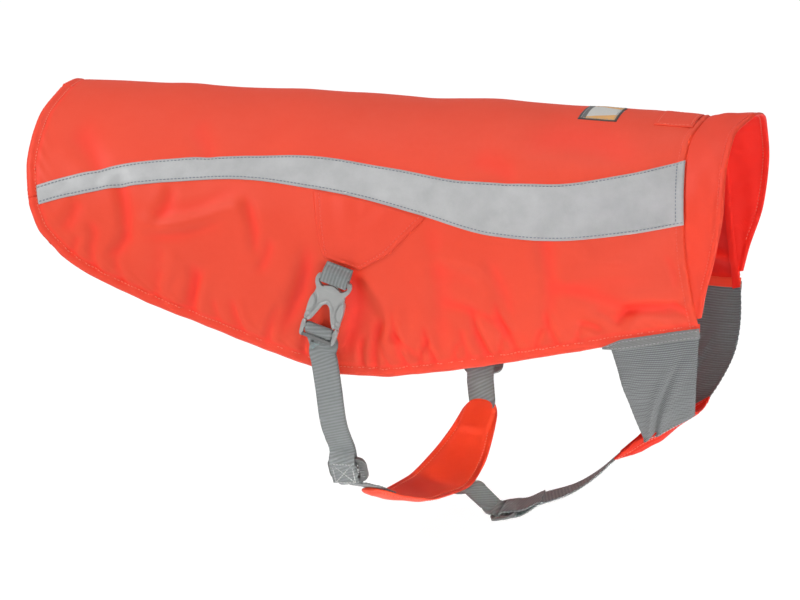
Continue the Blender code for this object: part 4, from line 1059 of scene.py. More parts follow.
def build_stripe(side, end):
    """The reflective tape with its front end folded over, and blue-grey stitches."""
    last = 1.0 - 0.6 / chord_lengths(STRIPE_TOP)[-1]
    shares = np.linspace((HEM_WIDTH + 0.4) / chord_lengths(STRIPE_TOP)[-1], last, 260)
    top, bottom = on_line(STRIPE_TOP, shares), on_line(STRIPE_BOTTOM, shares)
    rows = 15
    places = side_of(mix(top, bottom, np.arange(rows)[:, None] / (rows - 1)), side)
    x, turn = places[..., 0], places[..., 1]
    down = np.linspace(0.0, 1.0, rows)[:, None]
    width = np.linalg.norm(bare_point(x, turn)[0] - bare_point(x, turn)[-1], axis=-1)[None, :]
    edge = np.minimum(down, 1.0 - down) * width
    from_end = (1.0 - shares)[None, :] * chord_lengths(STRIPE_TOP)[-1]
    out = 0.85 + 0.28 * np.clip(edge / 4.0, 0, 1) - 0.3 * bump_at(edge, 2.0, 0.9)
    out = out - 0.5 * bump_at(edge, 0.0, 0.5)
    drop = down * width
    crackle = np.abs(crumple(x + 0.5 * drop, drop, 6.5, 21)) + 0.6 * crumple(x, drop, 13.0, 23)
    out = out + 0.30 * crackle * np.clip(edge / 5.0, 0, 1)
    out = out + 0.45 * np.clip(5.5 - from_end, 0.0, 1.0) - 0.25 * bump_at(from_end, 5.2, 0.8)
    points = cloth_point(x, turn, out + 0.0 * x)
    piece = cloth_sheet("reflective_stripe_" + end, points, TAPE, (0.0, float(side), 0.3),
                        thickness=TAPE_WALL)
    stand_in(piece, "stripe_" + end)
    sewing = Sewing("stripe_stitches_" + end, TAPE_THREAD)
    for line, way in ((top, 1.0), (bottom, -1.0)):
        x2, turn2 = offset_line(line[:, 0], line[:, 1], way * 2.0)
        sewing.on_shell(side_of(np.stack([x2, turn2], -1), side), 0.85, 0.1)
    sewing.on_shell(side_of(mix(top[-4], bottom[-4], np.linspace(0.05, 0.95, 30)), side), 1.1, 0.1)
    sewing.build()
    declare(piece, points)
    return piece


def build_yoke(side, end):
    """The topstitched patch that carries the buckle's tab."""
    first, last = (share_at_x(STRIPE_BOTTOM, x) for x in YOKE_TOP_X)
    corner_tail, corner_neck = (np.array([x, float(turn_at(x, z))]) for x, z in YOKE_BOTTOM)
    gap = np.array([0.0, 2 * SEAM_GAP / BELOW_WIDEST])
    top = lambda s: on_line(STRIPE_BOTTOM, first + (last - first) * np.asarray(s)) + gap
    bottom = lambda s: mix(corner_tail, corner_neck, s)
    tail = lambda s: mix(top(0.0), corner_tail, s)
    neck = lambda s: mix(top(1.0), corner_neck, s)
    columns, rows = 46, 36
    across, down = np.meshgrid(np.linspace(0, 1, columns), np.linspace(0, 1, rows))
    places = side_of(coons(top, bottom, tail, neck, across, down), side)
    x, turn = places[..., 0], places[..., 1]
    flat = bare_point(x, turn)
    border = np.concatenate([flat[:, 0], flat[-1], flat[::-1, -1]])
    edge = nearest(flat, border)
    out = 0.75 + 0.4 * bump_at(edge, 1.4, 1.3) - 0.35 * bump_at(edge, 3.0, 0.8)
    out = out - 0.6 * bump_at(edge, 0.0, 0.5) + 0.25 * np.sin(edge * 0.35)
    points = cloth_point(x, turn, out)
    piece = cloth_sheet("yoke_cloth_" + end, points, PATCH, (0.0, float(side), 0.0))
    stand_in(piece, "yoke_patch_" + end)
    sewing = Sewing("yoke_stitches_" + end, SEAM_THREAD)
    inset_x, inset_y = 3.0 / 60.0, 3.0 / 52.0
    down_line = np.linspace(0.0, 1.0 - inset_y, 60)
    across_line = np.linspace(inset_x * 2, 1.0 - inset_x * 2, 40)
    for inset in (inset_x, 1.0 - inset_x):
        from_side = inset_x * (1.0 + 1.2 * down_line)
        share = from_side if inset < 0.5 else 1.0 - from_side
        sewing.on_shell(side_of(coons(top, bottom, tail, neck, share, down_line), side), 0.75, 0.1)
    low_line = coons(top, bottom, tail, neck, across_line, 0.0 * across_line + 1.0 - inset_y)
    sewing.on_shell(side_of(low_line, side), 0.75, 0.1)
    sewing.build()
    declare(piece, points)
    return piece


def spine_piece(name, ends, half, node, slot, finish, lift):
    """A small patch sewn flat across the spine."""
    columns, rows = 30, 40
    x = np.linspace(ends[0], ends[1], columns)[None, :] + np.zeros((rows, 1))
    reach = half / section(x)[1] / (math.pi / 2)
    girth = np.linspace(-1.0, 1.0, rows)[:, None]
    turn = reach * girth
    edge = np.minimum(np.minimum(x - ends[0], ends[1] - x), half * (1.0 - np.abs(girth)))
    out = lift + 0.25 * np.clip(edge / 2.0, 0, 1) - 0.25 * bump_at(edge, 2.4, 0.8)
    out = out - 0.45 * bump_at(edge, 0.0, 0.45) + 0.12 * np.sin(x * 0.4) * np.cos(girth * 4.0)
    points = cloth_point(x, turn, out)
    places = np.stack([x - ends[0], -girth * half + 0.0 * x], -1)
    piece = cloth_sheet(name, points, finish, (0.0, 0.0, 1.0), places=places)
    stand_in(piece, node)
    thread = VEST_THREAD if slot == "shell_cloth" else GREY_THREAD
    sewing = Sewing(name + "_stitches", thread, 2.8, 2.0, 0.22)
    inset = 2.4
    low, high = ends[0] + inset, ends[1] - inset
    corners = ((low, -1), (high, -1), (high, 1), (low, 1))
    for first, second in zip(corners, corners[1:] + corners[:1]):
        share = np.linspace(0.0, 1.0, 40)
        line_x = first[0] + (second[0] - first[0]) * share
        line_girth = (first[1] + (second[1] - first[1]) * share) * (half - inset)
        line_turn = line_girth / section(line_x)[1] / (math.pi / 2)
        sewing.on_shell(np.stack([line_x, line_turn], -1), lift, 0.1)
    sewing.build()
    declare(piece, points)
    return piece


# ---- collar ----
def neck_stations():
    """Points and turns of the collar's foot, from the spine to its end."""
    line = list(NECK_UPPER) + [tuple(seam_line()[-1])] + list(NECK_LOWER[:3]) + [COLLAR_END]
    points = along(line, np.linspace(0.0, 1.0, 49) ** 2)
    turn = turn_at(points[:, 0], points[:, 1])
    return np.column_stack([bare_point(points[:, 0], turn), turn])


def collar_half(side, shares, reaches):
    """Rows of one half of the collar, outer face then inner face, and its two rows of stitches."""
    stations = neck_stations()
    lengths = chord_lengths(stations[:, :3])
    read = [smooth(stations[:, k], lengths, shares * lengths[-1]) for k in range(4)]
    x, turn = read[0], read[3]
    mirror = np.array([1.0, side, 1.0])
    foot = cloth_point(x - 0.4, side * turn) * mirror
    table = np.array(RIM)
    if side < 0:
        table[:, 0] += NEAR_RIM_BACK
    rim = along(table, shares)
    into_shell = -form_normal(x, turn)
    slope = unit(rim - foot)
    girth = (along(table, np.minimum(shares + 0.02, 1.0))
             - along(table, np.maximum(shares - 0.02, 0.0)))
    into = unit(np.cross(slope, girth))
    into = np.where(np.sum(into * into_shell, -1, keepdims=True) < 0.0, -into, into)
    height = np.linalg.norm(rim - foot, axis=-1)

    def face(reach, inside):
        reach = np.full(len(shares), reach)
        from_rim = (1.0 - reach) * height
        bow = COLLAR_BOW * np.sin(math.pi * reach) * (1.0 - shares)
        turned = np.clip(2 * reach, 0, 1)[:, None]
        depth = unit(into_shell * (1.0 - turned) + into * turned)
        free = np.clip(height / COLLAR_LOW, 0.0, 1.0) * np.sin(math.pi * reach)
        stitched = humps(from_rim, ((-0.3, COLLAR_STITCH, 0.9), (0.3, 2.2, 1.5)))
        roll = 1.0 - np.sqrt(np.clip(1.0 - np.clip(1.0 - from_rim / 1.1, 0, 1) ** 2, 0, 1))
        soft = 0.7 * crumple(shares * 130.0 * (2 + side), reach * height, 13.0, 41)
        if inside:
            waves = (0.55 * np.sin(reach * 8.0 + 1.4 * np.sin(shares * 5.0))
                     + 0.25 * np.sin(shares * 34.0 + reach * 3.0))
            out = -COLLAR_WALL + (waves - soft) * free - stitched + roll
        else:
            waves = (0.45 * np.sin(reach * 5.0 + shares * 17.0)
                     + 0.3 * np.sin(reach * 8.0 - shares * 31.0))
            out = (waves + soft) * free + stitched - roll * 0.95
            out = out - 0.4 * bump_at(reach * height, 0.0, 1.2)
        return foot + (rim - foot) * reach[:, None] - into * bow[:, None] - depth * out[:, None]

    rows = [face(reach, False) for reach in reaches]
    rows += [face(reach, True) for reach in reaches[::-1]]
    keep = height > COLLAR_LOW
    reach = 1.0 - COLLAR_STITCH / height
    bow = COLLAR_BOW * np.sin(math.pi * reach) * (1 - shares)
    edge = foot + (rim - foot) * reach[:, None] - into * bow[:, None]
    stitches = [((edge * mirror)[keep], (-into * mirror)[keep], -0.2),
                (((edge + into * 2.0) * mirror)[keep], (into * mirror)[keep], 0.1)]
    return np.stack(rows) * mirror, stitches


def build_collar():
    """A crescent of doubled cloth: outer face, rolled rim and inner face."""
    shares = np.linspace(0.0, 1.0, 121)
    reaches = np.concatenate([np.linspace(0.0, 0.8, 17), np.linspace(0.83, 1.0, 8)])
    far_half, far_rows = collar_half(1, shares, reaches)
    near_half, near_rows = collar_half(-1, shares, reaches)
    points = np.concatenate([near_half[:, :0:-1], far_half], axis=1)
    piece = cloth_sheet("collar_cloth", points, COLLAR, (0.0, 0.0, 0.0), thickness=0.0)
    faces = np.cross(points[9, 121] - points[8, 121], points[8, 122] - points[8, 121])
    if faces[2] < 0:
        piece.data.flip_normals()
    piece.data.materials.append(COLLAR_INSIDE_SHADED)
    columns = points.shape[1] - 1
    for face in piece.data.polygons:
        face.material_index = int(face.index // columns >= len(reaches))
    stand_in(piece, "collar")
    sewing = Sewing("collar_stitches", SEAM_THREAD)
    for row, normals, rise in far_rows + near_rows:
        sewing.row(row, normals, rise)
    sewing.build()
    width, length, area = span(points)
    return piece


# ---- chest: knit panels, bindings and strip ----
def strip_point(share, across):
    """Point of the chest strip; share runs back from the throat, across from -1 to 1."""
    rows = along(CHEST_STRIP, share)
    y = rows[..., 2] * across
    z = rows[..., 1] - rows[..., 3] * (1.0 - across * across)
    return np.stack([rows[..., 0], y, z], -1)


def knit_point(side, share, reach, out=0.0):
    """Point of a knit panel; reach runs from the hem, 0, to the strip, 1, and on to its lap."""
    share, reach = np.asarray(share, float), np.asarray(reach, float)
    x = MESH_TOP_X[0] + (MESH_TOP_X[1] - MESH_TOP_X[0]) * share
    top = bare_point(x, turn_at(x, hem_level(x) + 2.0))
    on_strip = MESH_STRIP_SHARE[0] + (MESH_STRIP_SHARE[1] - MESH_STRIP_SHARE[0]) * share
    edge = strip_point(on_strip, 1.0) + np.array(STRIP_EDGE_OUT) * MESH_CLEAR
    lap = strip_point(on_strip, STRIP_LAP) + np.array(STRIP_LAP_OUT) * MESH_CLEAR
    inner = np.clip(reach, 0.0, 1.0)
    rear, front = MESH_BULGE
    bulge = (rear + (front - rear) * share) * np.sin(math.pi * inner ** 0.9)
    point = mix(top, edge, inner) + np.array(MESH_OUT) * (bulge + out)[..., None]
    point[..., 0] += MESH_BOW[side] * share ** 2 * np.sin(math.pi * inner)
    past = np.clip((reach - 1.0) / 0.2, 0.0, 1.0)
    point = point + (lap - edge) * past[..., None]
    return point * np.array([1.0, side, 1.0])


KNIT_FOLD = (               # depth, place beside the fold's line, half width
    (2.6, 0.0, 0.045), (-1.5, -0.12, 0.06), (-0.9, 0.13, 0.07),
)


def build_knit(side, end):
    columns, rows = 80, 96
    share, reach = np.meshgrid(np.linspace(0, 1, columns), np.linspace(0.0, KNIT_LAP, rows))
    aside = share - 0.30 - 0.72 * (0.9 - reach)
    lower = np.clip(reach * 2.2 - 0.3, 0, 1)
    fold = humps(aside, KNIT_FOLD) * lower * (1.0 if side < 0 else 0.5)
    fold = fold + 0.9 * crumple(share * 60.0, reach * 90.0 + side * 20.0, 17.0, 31)
    ripple = 0.5 * np.sin(share * 11.0 + reach * 4.0) * np.sin(math.pi * np.clip(reach, 0, 1))
    ends = 0.6 * (bump_at(share, 1.0, 0.03) + bump_at(share, 0.0, 0.03))
    ribs = 0.16 * np.sin(reach * rows * 1.05)
    points = knit_point(side, share, reach, ripple - fold - ends + ribs)
    points[..., 0] += 0.18 * np.sin(reach * 150.0) * bump_at(share, 1.0, 0.02)
    piece = cloth_sheet("knit_panel_" + end, points, KNIT, (0.0, side * 0.8, -0.6),
                        thickness=KNIT_WALL, inside=KNIT_INSIDE_SHADE_TINT)
    stand_in(piece, "chest_mesh_" + end)
    sewing = Sewing("knit_stitches_" + end, PALE_THREAD, 2.6, 1.7, 0.30)
    share_line = np.linspace(0.02, 0.98, 80)
    row = knit_point(side, share_line, np.full(80, 1.03), 0.2)
    sewing.row(row, np.tile(np.array([0.0, side * 0.45, -0.89]), (80, 1)), 0.3)
    sewing.build()
    declare(piece, points)
    return piece


def build_binding(side, end):
    """The grey tape over the top of a knit panel."""
    columns, rows = 90, 14
    share, down = np.meshgrid(np.linspace(0, 1, columns), np.linspace(0, 1, rows))
    first = MESH_TOP_X[0] - BAND_START
    x = first + (MESH_TOP_X[1] - first) * share
    taper = np.minimum(1.0, 0.2 + 4.0 * share)
    z = hem_level(x) + BAND_HEIGHT * (BAND_LIFT - down) * taper
    turn = side * turn_at(x, z)
    edge = np.minimum(down, 1.0 - down) * BAND_HEIGHT * taper
    out = 1.3 + 0.3 * np.clip(edge / 1.5, 0, 1) - 0.3 * bump_at(edge, 1.5, 0.6)
    out = out + 0.1 * np.sin(x * 1.3)
    points = cloth_point(x, turn, out)
    piece = cloth_sheet("knit_binding_" + end, points, BINDING, (0.0, float(side), 0.0),
                        thickness=BINDING_WALL)
    stand_in(piece, "mesh_band_" + end)
    sewing = Sewing("binding_stitches_" + end, GREY_THREAD, 2.8, 2.0, 0.24)
    for level in (0.2, 0.8):
        line = np.linspace(0.04, 0.98, 60)
        line_x = first + (MESH_TOP_X[1] - first) * line
        taper = np.minimum(1.0, 0.2 + 4.0 * line)
        line_z = hem_level(line_x) + BAND_HEIGHT * (BAND_LIFT - level) * taper
        sewing.on_shell(np.stack([line_x, side * turn_at(line_x, line_z)], -1), 1.5, 0.1)
    sewing.build()
    declare(piece, points)
    return piece


STRIP_HUMPS = (             # height, distance in from the strip's edge, half width
    (0.5, 2.0, 1.6), (-0.4, 4.2, 0.9), (0.9, 6.8, 1.6), (-0.8, 10.0, 1.6),
)


def build_strip():
    columns, rows = 90, 48
    share, across = np.meshgrid(np.linspace(0, 1, columns), np.linspace(-1, 1, rows))
    points = strip_point(share, across)
    half = along(CHEST_STRIP, share)[..., 2]
    edge = (1.0 - np.abs(across)) * half
    sag = 0.4 * np.sin(share * 19.0) + 0.5 * bump_at(share, 0.45, 0.05)
    rise = humps(edge, STRIP_HUMPS) + sag * (1.0 - across ** 2) - 0.4 * bump_at(share, 0.72, 0.04)
    points[..., 2] -= rise
    piece = cloth_sheet("chest_strip_cloth", points, STRIP_CLOTH_SHADED, (0.0, 0.0, -1.0),
                        thickness=STRIP_WALL)
    stand_in(piece, "chest_strip")
    sewing = Sewing("strip_stitches", VEST_THREAD)
    for side in (-1, 1):
        line = np.linspace(0.02, 0.98, 90)
        inset = 1.0 - 4.2 / along(CHEST_STRIP, line)[:, 2]
        row = strip_point(line, side * inset)
        sewing.row(row, np.tile([0.0, side * 0.4, -0.9], (90, 1)), 0.1)
        sewing.row(row + np.array([0, 0, 1.4]), np.tile([0.0, -side * 0.4, 0.9], (90, 1)), 0.0)
    sewing.build()
    declare(piece, points)
    return piece


# ---- belly pad ----
def towards_loop(place):
    """Unit direction from a place to the middle of the belly loop."""
    place = np.asarray(place, float)
    way = np.stack([0.0 * place[..., 0], -place[..., 1], LOOP_CENTRE_Z - place[..., 2]], -1)
    return unit(way)


def pad_frame(share):
    """Middle, half width vector and inward direction of the pad at a share of its length."""
    share = np.asarray(share, float)
    row = along(BELLY_PAD, share)
    place = row[..., :3]
    ahead = along(BELLY_PAD, np.minimum(share + 0.01, 1.0))[..., :3]
    behind = along(BELLY_PAD, np.maximum(share - 0.01, 0.0))[..., :3]
    run = unit(ahead - behind)
    wide = unit(np.cross(run, towards_loop(place)))
    inward = unit(np.cross(wide, run))
    return place, wide * (row[..., 3] / 2)[..., None], inward


PAD_RUN = 170.0             # length of the pad round the loop
PAD_STITCH = 4.6            # from the pad's edge in to its row of stitches
PAD_OVER_WEB = 2.5          # rise of the pad over the sewn end of the left strap


def build_pad():
    columns, rows = 130, 64
    share = np.linspace(0.0, 1.0, columns)
    place, wide, inward = pad_frame(share)
    half_width = np.linalg.norm(wide, axis=-1)
    lines = []
    from_end = np.minimum(share, 1.0 - share) * PAD_RUN
    far_end = share > 0.5
    round_run = np.where(far_end, 13.0, 14.0)
    end_width = np.where(far_end, 0.46, 0.40)
    bow = np.sqrt(np.clip(1.0 - (1.0 - np.clip(from_end / round_run, 0, 1)) ** 2, 0, 1))
    narrowed = end_width + (1.0 - end_width) * bow
    over_web = ease(np.clip((32.0 - (1.0 - share) * PAD_RUN) / 9.0, 0.0, 1.0))
    for k in range(rows):
        angle = 2 * math.pi * k / rows
        across = math.copysign(abs(math.cos(angle)) ** 0.6, math.cos(angle))
        face = math.copysign(1.0, math.sin(angle)) * min(1.0, abs(math.sin(angle)) ** 0.6)
        edge = np.minimum((1.0 - abs(across)) * half_width, from_end + 1.0)
        full = 1.25 + 0.75 * np.clip((edge - 4.0) / 7.0, 0, 1)
        bare = 1.0 - over_web if face > 0.0 else 1.0
        full = full - 0.75 * bump_at(edge, PAD_STITCH, 1.3) * bare
        full = full + 0.3 * np.sin(share * 46.0 + across * 3.0) * np.clip(edge / 10.0, 0, 1)
        if face > 0.0:
            web = np.clip((12.4 - abs(across) * half_width) / 1.6, 0.0, 1.0)
            full = full + over_web * PAD_OVER_WEB * web
        cup = PAD_CUP * across * across * np.sin(math.pi * share) + face * full
        lines.append(place + wide * (across * narrowed)[:, None] + inward * cup[:, None])
    places = np.stack(np.meshgrid(share * PAD_RUN, np.arange(rows) * 1.6), -1)
    piece = cloth_sheet("belly_pad_cloth", np.stack(lines), PAD_CLOTH_LIGHTENED, (0.0, 0.0, 0.0),
                        thickness=0.0, closed=True, places=places)
    close_ends(piece)
    stand_in(piece, "belly_pad")
    sewing = Sewing("pad_stitches", VEST_THREAD)
    for way in (-1, 1):
        for face in (-1, 1):
            line = np.linspace(0.03, 0.97, 120)
            middle, breadth, into = pad_frame(line)
            half = np.linalg.norm(breadth, axis=-1)
            across = way * (1.0 - PAD_STITCH / half)
            cup = PAD_CUP * across ** 2 * np.sin(math.pi * line)
            row = middle + breadth * across[:, None] + into * (cup + face * 0.95)[:, None]
            sewing.row(row, into * face, 0.05)
    sewing.build()
    return piece


# ---- webbing ----
class Place:
    """A local frame: origin, across, down and out."""

    def __init__(self, origin, down, out):
        self.origin = np.array(origin, float)
        self.down = unit(np.array(down, float))
        out = np.array(out, float)
        self.out = unit(out - self.down * out.dot(self.down))
        self.across = unit(np.cross(self.down, self.out))

    def point(self, across, down, out):
        return self.origin + self.across * across + self.down * down + self.out * out


def buckle_place(side, lean=None):
    x, reach, z = BUCKLE_TOP
    down_x, down_out, down_z = lean or (LEFT_DOWN if side > 0 else SEAM_DOWN)
    return Place((x, side * reach, z), (down_x, side * down_out, down_z), (0.0, side, 0.0))


def arc(centre_down, centre_out, radius, first, last, steps):
    angles = np.radians(np.linspace(first, last, steps + 1))
    return [(centre_down + radius * math.sin(a), centre_out + radius * math.cos(a)) for a in angles]


def local_route(place, path):
    return [(place.point(0.0, down, out), place.across) for down, out in path]


def aside_route(place, path, side):
    """A route that drifts sideways below the plug's bar, towards where the strap hangs."""
    route = []
    for down, out in path:
        drift = min(max((down - 44.3) / 5.2, 0.0), 1.0) ** 1.3 * STRAP_ASIDE[side]
        route.append((place.point(side * drift, down, out), place.across))
    return route


def blend(points, first, last, haste=1.0):
    """Stations whose width direction turns from the first to the last."""
    count = len(points) - 1
    return [(point, first + (last - first) * (i / count) ** haste)
            for i, point in enumerate(points)]


def on_pad(share, across, out, width_way):
    place, wide, inward = pad_frame(share)
    half = PAD_WALL / 2 if out > 0 else -PAD_WALL / 2
    cup = PAD_CUP * across * across * math.sin(math.pi * share)
    return place + wide * across + inward * (cup + half + out), width_way


WEB_RING = (                # across as a share of the half width, out as a share of the half wall
    (-0.93, 1.0), (-0.6, 1.0), (-0.2, 1.0), (0.2, 1.0), (0.6, 1.0), (0.93, 1.0), (0.985, 0.7),
    (1.0, 0.0), (0.985, -0.7), (0.93, -1.0), (0.6, -1.0), (0.2, -1.0), (-0.2, -1.0),
    (-0.6, -1.0), (-0.93, -1.0), (-0.985, -0.7), (-1.0, 0.0), (-0.985, 0.7),
)


def webbing(name, node, stations, finish, ribs=0.15):
    """Woven webbing along stations of (point, width direction), with fine ribs."""
    centre = round_route([point for point, _ in stations], 0.63)
    lengths = chord_lengths([point for point, _ in stations])
    at = np.linspace(0.0, lengths[-1], len(centre))
    ways = np.array([wide for _, wide in stations])
    wide = np.stack([np.interp(at, lengths, ways[:, k]) for k in range(3)], -1)
    run = unit(np.gradient(centre, axis=0))
    wide = unit(wide - run * np.sum(wide * run, -1, keepdims=True))
    face = unit(np.cross(run, wide))
    rows = []
    places = []
    for across, out in WEB_RING:
        reach = across * WEB_WIDTH / 2
        rib = 1.0 + ribs * np.sin((at + RIB_SLANT * reach) * 2 * math.pi / RIB_PITCH)
        rows.append(centre + wide * reach + face * (out * rib * WEB_WALL / 2)[:, None])
        places.append(np.stack([at, np.full(len(at), reach)], -1))
    piece = cloth_sheet(name, np.stack(rows), finish, (0.0, 0.0, 0.0), thickness=0.0,
                        closed=True, places=np.stack(places))
    close_ends(piece)
    piece.data.set_sharp_from_angle(angle=math.radians(50.0))
    # Faces turned in towards the loop get the painted-light copy of the webbing.
    if finish is WEBBING:
        piece.data.materials.append(WEBBING_INSIDE_LIGHT_TINT)
        for face in piece.data.polygons:
            inward = towards_loop(np.array(face.center) / MM)
            face.material_index = int(float(np.dot(inward, face.normal)) > 0.35)
    stand_in(piece, node)
    return piece


def build_tab(side, end):
    """The short webbing from the yoke patch round the buckle's top bar and back."""
    seam = buckle_place(side, SEAM_DOWN)
    bar = buckle_place(side)
    clear = SOCKET_WALL / 2 + SEAM_GAP + WEB_WALL / 2
    bend = clear - TAB_BEND
    sewn = local_route(seam, [(-TAB_LENGTH, -2.2), (1.2 - TAB_LENGTH, -1.7)])
    front = local_route(bar, [(-4.5, clear - 0.6), (-1.6, clear)])
    back = local_route(bar, [(-1.6, -clear), (-4.5, -clear)])
    back += local_route(seam, [(1.2 - TAB_LENGTH, -clear - 0.1), (-TAB_LENGTH, -clear - 0.2)])
    middle = ((sewn[1][0] + front[0][0]) / 2 + bar.out / 2, (sewn[1][1] + front[0][1]) / 2)
    stations = sewn + [middle] + front
    stations += local_route(bar, arc(1.0, bend, TAB_BEND, 25, 90, 3))
    stations += local_route(bar, arc(1.0, -bend, TAB_BEND, 90, 155, 3))
    webbing("tab_webbing_" + end, "tab_" + end, stations + back, TAB_WEBBING,
            ribs=0.0)


def slider_place(middle, down):
    return Place(middle, down, -towards_loop(np.array(middle, float)))


def build_strap(side, end):
    """The side strap: from its adjuster up round the plug's bar, back down and on to the pad."""
    buckle = buckle_place(side)
    route = LEFT_STRAP if side > 0 else RIGHT_STRAP
    slider = slider_place(*(LEFT_SLIDER if side > 0 else RIGHT_SLIDER))
    shares = LEFT_PAD_SHARES if side > 0 else RIGHT_PAD_SHARES
    step = LAYER_STEP / 2
    top = buckle.point(side * STRAP_ASIDE[side], 54.0, -PLUG_WRAP - step)
    meet = slider.point(0.0, *INTO_SLIDER[0])
    middle = along([top, *route, meet], np.linspace(0.0, 1.0, STRAP_STATIONS))
    front, back = (blend([p + towards_loop(p) * inward for p in middle], buckle.across,
                         slider.across, STRAP_HASTE) for inward in (-step, step))
    stations = local_route(slider, SEWN_END + INTO_SLIDER[1:])
    stations += list(reversed(front))
    stations += aside_route(buckle, UP_THROUGH_PLUG, side)
    stations += local_route(buckle, arc(PLUG_BAR, 0.0, PLUG_WRAP, 0, -180, 6))
    stations += aside_route(buckle, DOWN_BEHIND_PLUG, side)
    stations += back
    stations += local_route(slider, OVER_SLIDER_BAR)
    pad_way = unit(pad_frame(shares[1])[1])
    if pad_way.dot(slider.across) < 0.0:
        pad_way = -pad_way
    clear = WEB_WALL / 2 + 2 * SEAM_GAP
    reach = shares[1] - shares[0]
    sewn = [on_pad(shares[0] + reach * i / 3, 0.0, clear, pad_way) for i in range(4)]
    leave = stations[-1][0]
    between = [leave + (sewn[0][0] - leave) * share for share in (0.0, 0.33, 0.66, 1.0)]
    stations += blend(between, slider.across, pad_way)[1:-1] + sewn
    webbing("strap_webbing_" + end, "side_web_" + end, stations, WEBBING)
    box_stitches("strap_stitches_" + end, slider, 1.0, 8.0, 4.1 + WEB_WALL / 2)
    body = Place(slider.point(side * SLIDER_SHIFT, 0.0, 0.0), slider.down, slider.out)
    grip = (SLIDER_GRIP, 0.0) if side < 0 else (0.0, SLIDER_GRIP)
    build_slider("adjuster_" + end, "slider_" + end, body, grip)


def box_stitches(name, place, middle, half, out):
    """A sewn box with its two diagonals on the face of the webbing."""
    sewing = Sewing(name, PALE_THREAD, 2.3, 1.9, 0.34)
    wide = 7.6
    top, bottom = middle - half, middle + half
    corners = ((-wide, top), (wide, top), (wide, bottom), (-wide, bottom))
    for k, m in ((0, 1), (1, 2), (2, 3), (3, 0), (0, 2), (1, 3)):
        spots = mix(corners[k], corners[m], np.linspace(0.0, 1.0, 12))
        row = np.array([place.point(across, down, out) for across, down in spots])
        sewing.row(row, np.tile(place.out, (12, 1)), 0.0)
    sewing.build()


def build_chest_webbing():
    """The two webbings and the adjuster between the chest strip and the pad."""
    middle, down = CHEST_SLIDER
    slope = np.cross(np.array(down), np.array(CHEST_TWIST))
    place = Place(middle, down, slope if slope[2] < 0 else -slope)
    build_slider("chest_adjuster", "chest_slider", place)
    half = SLIDER_LENGTH / 2
    loop = [(-half - 2.0, OVER_BAR - 0.3), (-half + 1.5, OVER_BAR), (-4.5, OVER_BAR),
            (-1.5, OVER_BAR + 0.3)]
    loop += arc(0.0, 0.0, OVER_BAR + 0.6, 20, 160, 5)
    loop += [(d, -out) for d, out in reversed(loop[:4])]
    lower = along(CHEST_WEB_FRONT, np.linspace(0.0, 1.0, 10))
    level = unit(np.array([0.0, place.across[1], 0.0]))
    front = blend(list(lower[::-1]), level, place.across)
    upper = [(p - place.out * LAYER_STEP, wide) for p, wide in reversed(front)
             if p[0] < CHEST_FREE_END + 6.0]
    webbing("chest_webbing_front", "chest_web_front", front + local_route(place, loop) + upper,
            WEBBING)
    _, wide_pad, inward = pad_frame(CHEST_PAD_SHARE)
    run = unit(np.cross(inward, wide_pad))
    if run.dot(place.across) < 0.0:
        run = -run
    clear = WEB_WALL / 2 + 2 * SEAM_GAP
    sewn = [on_pad(CHEST_PAD_SHARE, across, -clear, run) for across in (0.4, 0.75, 1.06)]
    start = sewn[-1][0]
    edge = local_route(place, [(half - 0.5, -OVER_BAR - 0.5)])[0][0]
    steps = [start + (edge - start) * share for share in (0.15, 0.3, 0.5, 0.7, 0.85, 1.0)]
    between = blend(steps, run + (place.across - run) * 0.33, place.across)
    end_bar = half - SLIDER_BAR / 2
    loop = arc(end_bar, 0.0, OVER_BAR + 0.6, 195, 300, 4)
    webbing("chest_webbing_rear", "chest_web_rear", sewn + between + local_route(place, loop),
            WEBBING)


# ---- moulded pieces ----
def both_halves(half):
    """A closed outline from the half that lies at positive across."""
    return list(half) + [(-a, d) for a, d in reversed(half) if a > 0.001]


def soften(points, rounds=2, keep=0.2):
    """Round the corners of a closed outline by cutting them twice."""
    for _ in range(rounds):
        cut = []
        for (a, b), (c, d) in zip(points, points[1:] + points[:1]):
            cut.append((a + (c - a) * keep, b + (d - b) * keep))
            cut.append((c - (c - a) * keep, d - (d - b) * keep))
        points = cut
    return points


